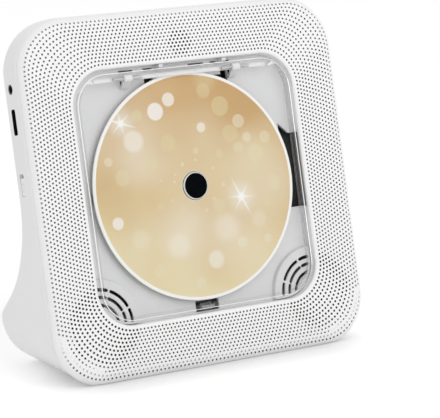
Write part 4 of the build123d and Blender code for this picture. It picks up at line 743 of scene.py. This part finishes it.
# ---------------------------------------------------------------- print on the disc
PRINT_GRADIENT = [
    # place along the gradient, colour
    (0.0, (0.85, 0.75, 0.49)),
    (0.3, (0.80, 0.65, 0.38)),
    (0.5, (0.76, 0.59, 0.34)),
    (0.72, (0.72, 0.52, 0.28)),
    (1.0, (0.62, 0.39, 0.17)),
]
GRADIENT_SWAY = 1.6           # how far noise shifts it
GRADIENT_SLANT = 0.28         # how much it also changes from left to right
GRADIENT_SPAN = (-0.3, 1.9)   # heights on the disc, in radii and with that shift, where it starts and ends
WHITE_LIGHT = (0.97, 0.93, 0.88)
YELLOW_LIGHT = (0.77, 0.68, 0.38)
AMBER_LIGHT = (0.62, 0.39, 0.17)
WARMEST = 2.4                 # warmth of amber
SPOTS = [
    # u, v, radius, strength, warmth (0 white, 1 yellow, 2.4 amber), softness
    (-4, 54, 13.0, 0.15, 2.4, 0.8), (36, 40, 14.0, 0.85, 2.4, 0.8), (-52, 4, 16.0, 0.45, 2.2, 0.9),
    (-40, 34, 8.0, 0.35, 2.4, 0.8), (-15, 42, 8.0, 0.40, 2.4, 0.8), (9, 43, 9.0, 0.35, 2.4, 0.8),
    (22, 33, 8.0, 0.45, 2.4, 0.8), (46, 28, 8.0, 0.40, 2.4, 0.8), (-43, -14, 9.0, 0.30, 2.0, 0.9),
    (-2, 29, 7.0, 0.30, 2.2, 0.8), (-20, 22, 7.0, 0.30, 2.2, 0.8), (26, -18, 8.0, 0.25, 2.0, 0.9),
    (-31, 15, 11.0, 0.35, 0.35, 0.8), (35, 13, 10.0, 0.30, 0.7, 0.8), (-11, -21, 12.0, 0.30, 0.3, 0.8),
    (46, -2, 13.0, 0.35, 0.5, 0.9), (13, -30, 10.0, 0.25, 0.5, 0.8), (14, 55, 6.0, 0.35, 0.9, 0.7),
    (-30, 44, 10.0, 0.40, 2.2, 0.8), (18, 22, 9.0, 0.30, 2.2, 0.9), (-26, -10, 12.0, 0.28, 2.0, 0.9),
    (4, -38, 14.0, 0.25, 2.0, 0.9), (-4, 20, 9.0, 0.25, 2.0, 0.9),
    (-34, 30, 17.0, 0.30, 0.3, 0.9), (30, 0, 20.0, 0.30, 0.55, 0.9), (-6, -26, 16.0, 0.22, 0.1, 0.9),
    (28, -34, 15.0, 0.28, 0.3, 0.9), (-34, -24, 13.0, 0.20, 0.5, 0.9), (8, 26, 13.0, 0.25, 0.5, 0.9),
    (47, 22, 10.0, 0.25, 0.7, 0.8), (-14, -48, 12.0, 0.30, 0.9, 0.9), (-14, 10, 12.0, 0.22, 0.6, 0.9),
    (-18, 41, 4.6, 0.85, 0.0, 0.10), (-9.5, 46.5, 3.6, 0.75, 0.05, 0.12), (21, 40, 5.2, 0.45, 0.95, 0.08),
    (31, 31, 3.6, 0.55, 0.6, 0.12), (8, 30, 2.6, 0.75, 0.2, 0.2), (-33, 27, 5.6, 0.6, 0.1, 0.25),
    (-24, 14, 3.4, 0.6, 0.9, 0.08), (-42, 9, 4.2, 0.45, 0.8, 0.12), (39, 13, 4.8, 0.5, 0.8, 0.10),
    (29, 17, 3.0, 0.5, 0.8, 0.12), (46, 21, 3.2, 0.5, 0.7, 0.12), (17, 15, 2.4, 0.5, 0.9, 0.12),
    (-13, 24, 4.4, 0.45, 0.95, 0.10), (3, 18, 1.6, 0.5, 0.7, 0.2), (48, -4, 4.0, 0.4, 0.7, 0.15),
    (-48, -14, 3.2, 0.75, 0.0, 0.2), (-36, -24, 5.0, 0.4, 0.5, 0.35), (-14, -30, 6.2, 0.5, 0.2, 0.5),
    (7, -40, 4.6, 0.7, 0.3, 0.25), (24, -33, 3.0, 0.6, 0.5, 0.2), (36, -22, 4.2, 0.4, 0.5, 0.35),
    (16, -24, 6.8, 0.4, 0.2, 0.55), (-27, -42, 3.8, 0.5, 0.7, 0.2), (31, -44, 5.0, 0.5, 0.8, 0.12),
    (-4, -51, 3.0, 0.55, 0.6, 0.25), (12, 49, 4.0, 0.4, 1.0, 0.12), (25, 25, 4.6, 0.4, 0.9, 0.15),
    (35, 22, 2.6, 0.5, 0.5, 0.2), (-29, 40, 3.0, 0.5, 0.9, 0.12), (-49, 18, 2.4, 0.5, 0.5, 0.2),
    (13, -12, 3.6, 0.45, 0.8, 0.15), (-11, -15, 2.4, 0.5, 0.8, 0.2), (43, -14, 2.2, 0.5, 0.9, 0.2),
    (-22, -8, 2.0, 0.4, 0.9, 0.2), (-43, -30, 2.4, 0.45, 0.8, 0.2), (40, -33, 2.4, 0.55, 0.6, 0.2),
    (-6, 12, 1.1, 0.7, 0.7, 0.25), (-12, 3.5, 0.9, 0.7, 0.7, 0.25), (12, 8, 0.8, 0.7, 0.7, 0.3),
    (10.5, -8, 0.9, 0.65, 0.7, 0.3), (-9, -11, 1.2, 0.6, 0.8, 0.25), (2, 13.5, 0.7, 0.7, 0.7, 0.3),
    (-15, -6, 0.7, 0.65, 0.7, 0.3), (5, -13.5, 1.0, 0.6, 0.7, 0.25), (17, -1.5, 1.2, 0.6, 0.7, 0.25),
    (-20, 5, 0.7, 0.6, 0.7, 0.3), (-2, -17, 0.8, 0.6, 0.7, 0.3), (-11, 7, 0.6, 0.7, 0.6, 0.3),
]
GLINTS = [
    # u, v, reach, turn in degrees
    (-39, 37, 13.0, 20.0),
    (27, -9, 15.0, 65.0),
]
GLINT_RAYS = 3
RAY_THINNESS = 14             # a glint's ray is this many times longer than wide
SHORT_RAY = 0.7               # the others, as a share of a glint's first ray


def fading(tree, source, near, far, strength):
    """Falls smoothly from strength to nothing between two values."""
    edge = add(tree, "ShaderNodeMapRange", interpolation_type="SMOOTHSTEP")
    edge.inputs["From Min"].default_value = near
    edge.inputs["From Max"].default_value = far
    edge.inputs["To Min"].default_value = strength
    edge.inputs["To Max"].default_value = 0.0
    tree.links.new(source, edge.inputs["Value"])
    return edge.outputs["Result"]


def round_spot(tree, where, u, v, radius, strength, soft):
    """Round spot on the print, with a soft edge."""
    gap = vectors(tree, "DISTANCE", where, (u / DISC_RADIUS, v / DISC_RADIUS, 0), output="Value")
    return fading(tree, gap, radius * (1 - soft) / DISC_RADIUS, radius * (1 + soft) / DISC_RADIUS, strength)


def ray_across(tree, where, u, v, span, angle):
    """Thin ray through a point of the print, fading towards both ends."""
    shift = vectors(tree, "SUBTRACT", where, (u / DISC_RADIUS, v / DISC_RADIUS, 0))
    spin = add(tree, "ShaderNodeVectorRotate", rotation_type="Z_AXIS")
    spin.inputs["Angle"].default_value = math.radians(angle)
    tree.links.new(shift, spin.inputs["Vector"])
    scale = DISC_RADIUS / span
    thin = vectors(tree, "MULTIPLY", spin.outputs["Vector"], (scale, scale * RAY_THINNESS, 0))
    return fading(tree, vectors(tree, "LENGTH", thin, output="Value"), 0.0, 1.0, 0.95)


def between(first, second, share):
    """A colour on the way from one colour to another."""
    return tuple(a + (b - a) * share for a, b in zip(first, second))


def spot_tone(warmth):
    """White at 0, yellow at 1 and amber at the warmest."""
    if warmth > 1:
        return between(YELLOW_LIGHT, AMBER_LIGHT, (warmth - 1) / (WARMEST - 1))
    return between(WHITE_LIGHT, YELLOW_LIGHT, warmth)


def print_gradient(tree, where):
    """Warm gradient down the disc, a little aslant and swayed by noise."""
    sway = add(tree, "ShaderNodeTexNoise")
    sway.inputs["Scale"].default_value = 1.3
    sway.inputs["Detail"].default_value = 2.0
    tree.links.new(where, sway.inputs["Vector"])
    parts = add(tree, "ShaderNodeSeparateXYZ")
    tree.links.new(where, parts.inputs[0])
    height = maths(tree, "MULTIPLY_ADD", sway.outputs["Fac"], GRADIENT_SWAY, parts.outputs["Y"])
    slope = maths(tree, "MULTIPLY_ADD", parts.outputs["X"], GRADIENT_SLANT, height)
    ramp = add(tree, "ShaderNodeValToRGB")
    tree.links.new(ranged(tree, slope, 0.0, 1.0, *GRADIENT_SPAN), ramp.inputs["Fac"])
    stops = ramp.color_ramp.elements
    stops[0].color = (*PRINT_GRADIENT[0][1], 1)
    stops[1].color = (*PRINT_GRADIENT[-1][1], 1)
    for at, colour in PRINT_GRADIENT[1:-1]:
        stops.new(at).color = (*colour, 1)
    return ramp.outputs["Color"]


def disc_print():
    """Soft out-of-focus lights and two glints on a warm gradient."""
    made, tree, output = material("disc_print_lights")
    print_map = add(tree, "ShaderNodeUVMap")
    print_map.uv_map = "print"
    where = print_map.outputs["UV"]
    colour = print_gradient(tree, where)
    for u, v, radius, strength, warmth, soft in SPOTS:
        spot = round_spot(tree, where, u, v, radius, strength, soft)
        colour = two_colours(tree, spot, colour, spot_tone(warmth))
    for u, v, reach, angle in GLINTS:
        halo = round_spot(tree, where, u, v, radius=reach * 0.42, strength=0.55, soft=0.95)
        colour = two_colours(tree, halo, colour, (0.95, 0.93, 0.86))
        core = round_spot(tree, where, u, v, radius=reach * 0.13, strength=1.0, soft=0.6)
        colour = two_colours(tree, core, colour, (1.0, 1.0, 0.98))
        for k in range(GLINT_RAYS):
            span = reach if k == 0 else reach * SHORT_RAY
            ray = ray_across(tree, where, u, v, span, angle + 180 / GLINT_RAYS * k)
            colour = two_colours(tree, ray, colour, (1.0, 0.99, 0.95))
    shader = add(tree, "ShaderNodeBsdfPrincipled")
    tree.links.new(colour, shader.inputs["Base Color"])
    ink = grain(tree, 3000.0, detail=2.0)
    tree.links.new(ranged(tree, ink.outputs["Fac"], low=0.34, high=0.46), shader.inputs["Roughness"])
    shader.inputs["Specular IOR Level"].default_value = 0.3
    tree.links.new(shader.outputs["BSDF"], output.inputs["Surface"])
    return made


# ---------------------------------------------------------------- disc
WHITE_RING, CLEAR_RING, PRINT_RING, FILM_RING = range(4)
DISC_PROFILE = [
    # radius, w, and what the ring from here to the next circle is
    (DISC_BORE, DISC_TOP - BORE_CHAMFER, CLEAR_RING),
    (DISC_BORE + BORE_CHAMFER, DISC_TOP, CLEAR_RING),
    (PRINT_INNER, DISC_TOP, PRINT_RING),
    (PRINT_OUTER, DISC_TOP, WHITE_RING),
    (DISC_RADIUS - RIM_ROUND, DISC_TOP, WHITE_RING),
    (DISC_RADIUS - RIM_MIDDLE, DISC_TOP - RIM_MIDDLE, WHITE_RING),
    (DISC_RADIUS, DISC_TOP - RIM_ROUND, WHITE_RING),
    (DISC_RADIUS, DISC_UNDER + RIM_ROUND, WHITE_RING),
    (DISC_RADIUS - RIM_MIDDLE, DISC_UNDER + RIM_MIDDLE, WHITE_RING),
    (DISC_RADIUS - RIM_ROUND, DISC_UNDER, CLEAR_RING),
    (FILM_OUTER, DISC_UNDER, FILM_RING),
    (FILM_INNER, DISC_UNDER, CLEAR_RING),
    (DISC_BORE + BORE_CHAMFER, DISC_UNDER, CLEAR_RING),
    (DISC_BORE, DISC_UNDER + BORE_CHAMFER, CLEAR_RING),
]


def printed_disc():
    """The disc, turned about its axis, with a map that lays the print over its face."""
    points, flat = [], []
    for k in range(DISC_STEPS):
        angle = 2 * math.pi * k / DISC_STEPS
        for radius, w, _ in DISC_PROFILE:
            x = radius * math.cos(angle)
            y = radius * math.sin(angle)
            points.append(place(DISC_CENTRE[0] + x, DISC_CENTRE[1] + y, w))
            flat.append((x / DISC_RADIUS, y / DISC_RADIUS))
    faces, marks = [], []
    size = len(DISC_PROFILE)
    for k in range(DISC_STEPS):
        n = (k + 1) % DISC_STEPS
        for i in range(size):
            j = (i + 1) % size
            faces.append((k * size + i, k * size + j, n * size + j, n * size + i))
            marks.append(DISC_PROFILE[i][2])
    finishes = [DISC_WHITE, DISC_POLYCARBONATE, disc_print(), DISC_FILM]
    made = build("printed_disc", points, faces, finishes, marks, smooth=False, body="spindle")
    layer = made.data.uv_layers.new(name="print")
    for loop in made.data.loops:
        layer.data[loop.index].uv = flat[loop.vertex_index]
    return made


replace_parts(printed_disc(), "disc")

# ---------------------------------------------------------------- stage, light and camera, in metres
FLOOR_SIZE = 6.0
SHADE_SIDES = (0.066, 0.104)  # the painted shadow on the floor fades out between these, left and right
SHADE_FRONT = (-0.064, -0.032)    # it fades in between these, from front to back
SHADE_BACK = (-0.010, 0.015)  # and out again between these
SHADE_POWER = 1.3
SHADE_TONE = 0.55
FLOOR_GLOW = 0.28
WORLD_LIGHT = 0.70
WORLD_SEEN = 1.0


def ray_kinds(tree, first, *others):
    """One where a ray is of one of these kinds, otherwise nought."""
    rays = add(tree, "ShaderNodeLightPath")
    largest = rays.outputs[first]
    for other in others:
        largest = maths(tree, "MAXIMUM", largest, rays.outputs[other])
    return largest


def painted_floor_shadow(tree):
    """How much shadow is painted on the floor round the object, from nought to one."""
    where = add(tree, "ShaderNodeTexCoord")
    axes = add(tree, "ShaderNodeSeparateXYZ")
    tree.links.new(where.outputs["Object"], axes.inputs[0])
    aside = maths(tree, "ABSOLUTE", axes.outputs["X"])
    across = ranged(tree, aside, 1.0, 0.0, *SHADE_SIDES)
    ahead = ranged(tree, axes.outputs["Y"], 0.0, 1.0, *SHADE_FRONT)
    behind = ranged(tree, axes.outputs["Y"], 1.0, 0.0, *SHADE_BACK)
    near = maths(tree, "MULTIPLY", across, maths(tree, "MULTIPLY", ahead, behind))
    return maths(tree, "POWER", near, SHADE_POWER)


def studio_floor():
    """White floor, which looks a little brighter than the lamps alone make it, with a shadow painted round
    the object.
    """
    bpy.ops.mesh.primitive_plane_add(size=FLOOR_SIZE, location=(0, 0, 0))
    floor = bpy.context.object
    floor.name = "studio_floor"
    made, tree, output = material("studio_floor_white")
    link = tree.links.new
    plain = clouded(tree, 400.0, grey(0.97), grey(0.99))
    surface = add(tree, "ShaderNodeBsdfDiffuse")
    link(two_colours(tree, painted_floor_shadow(tree), plain, grey(SHADE_TONE)), surface.inputs["Color"])
    glow = add(tree, "ShaderNodeEmission")
    link(maths(tree, "MULTIPLY", ray_kinds(tree, "Is Camera Ray", "Is Glossy Ray"), FLOOR_GLOW),
         glow.inputs["Strength"])
    both = add(tree, "ShaderNodeAddShader")
    link(surface.outputs["BSDF"], both.inputs[0])
    link(glow.outputs["Emission"], both.inputs[1])
    link(both.outputs["Shader"], output.inputs["Surface"])
    floor.data.materials.append(made)
    return floor


def background(tree, strength):
    """Even white light from all round."""
    node = add(tree, "ShaderNodeBackground")
    node.inputs["Color"].default_value = (1, 1, 1, 1)
    node.inputs["Strength"].default_value = strength
    return node.outputs["Background"]


def studio_world():
    """White where it is seen, directly, in a reflection or through the lid, and dimmer as a light."""
    world = bpy.data.worlds.new("studio")
    world.use_nodes = True
    tree = world.node_tree
    tree.nodes.clear()
    output = add(tree, "ShaderNodeOutputWorld")
    pick = add(tree, "ShaderNodeMixShader")
    seen = ray_kinds(tree, "Is Camera Ray", "Is Glossy Ray", "Is Transmission Ray")
    tree.links.new(seen, pick.inputs["Fac"])
    tree.links.new(background(tree, WORLD_LIGHT), pick.inputs[1])
    tree.links.new(background(tree, WORLD_SEEN), pick.inputs[2])
    tree.links.new(pick.outputs["Shader"], output.inputs["Surface"])
    return world


def softbox(name, at, aim, width, height, power):
    """Rectangular lamp that shines at a point."""
    data = bpy.data.lights.new(name, "AREA")
    data.shape = "RECTANGLE"
    data.size = width
    data.size_y = height
    data.energy = power
    lamp = bpy.data.objects.new(name, data)
    lamp.location = at
    lamp.rotation_euler = (Vector(aim) - Vector(at)).to_track_quat("-Z", "Y").to_euler()
    bpy.context.collection.objects.link(lamp)


CAMERA_AT = (-0.582177, -1.019789, 0.319577)
CAMERA_HEADING = 30.634523    # degrees to the right of straight ahead
CAMERA_DIP = 11.669530        # degrees below level
CAMERA_ROLL = -1.397045       # degrees
CAMERA_LENS = 185.03          # millimetres


def photo_camera():
    """Long lens in front of the object and to its left."""
    data = bpy.data.cameras.new("photo_camera")
    data.sensor_fit = "HORIZONTAL"
    data.sensor_width = 36.0
    data.lens = CAMERA_LENS
    data.clip_start = 0.05
    data.clip_end = 20.0
    camera = bpy.data.objects.new("photo_camera", data)
    heading = Matrix.Rotation(math.radians(-CAMERA_HEADING), 4, "Z")
    dip = Matrix.Rotation(math.radians(90 - CAMERA_DIP), 4, "X")
    roll = Matrix.Rotation(math.radians(CAMERA_ROLL), 4, "Z")
    camera.matrix_world = Matrix.Translation(Vector(CAMERA_AT)) @ heading @ dip @ roll
    bpy.context.collection.objects.link(camera)
    return camera


studio_floor()
bpy.context.scene.world = studio_world()
softbox("key_softbox", at=(0.35, -1.3, 1.0), aim=(0, 0, 0.09), width=1.6, height=1.6, power=8.0)
bpy.context.scene.camera = photo_camera()
bpy.context.scene.view_settings.view_transform = "Standard"
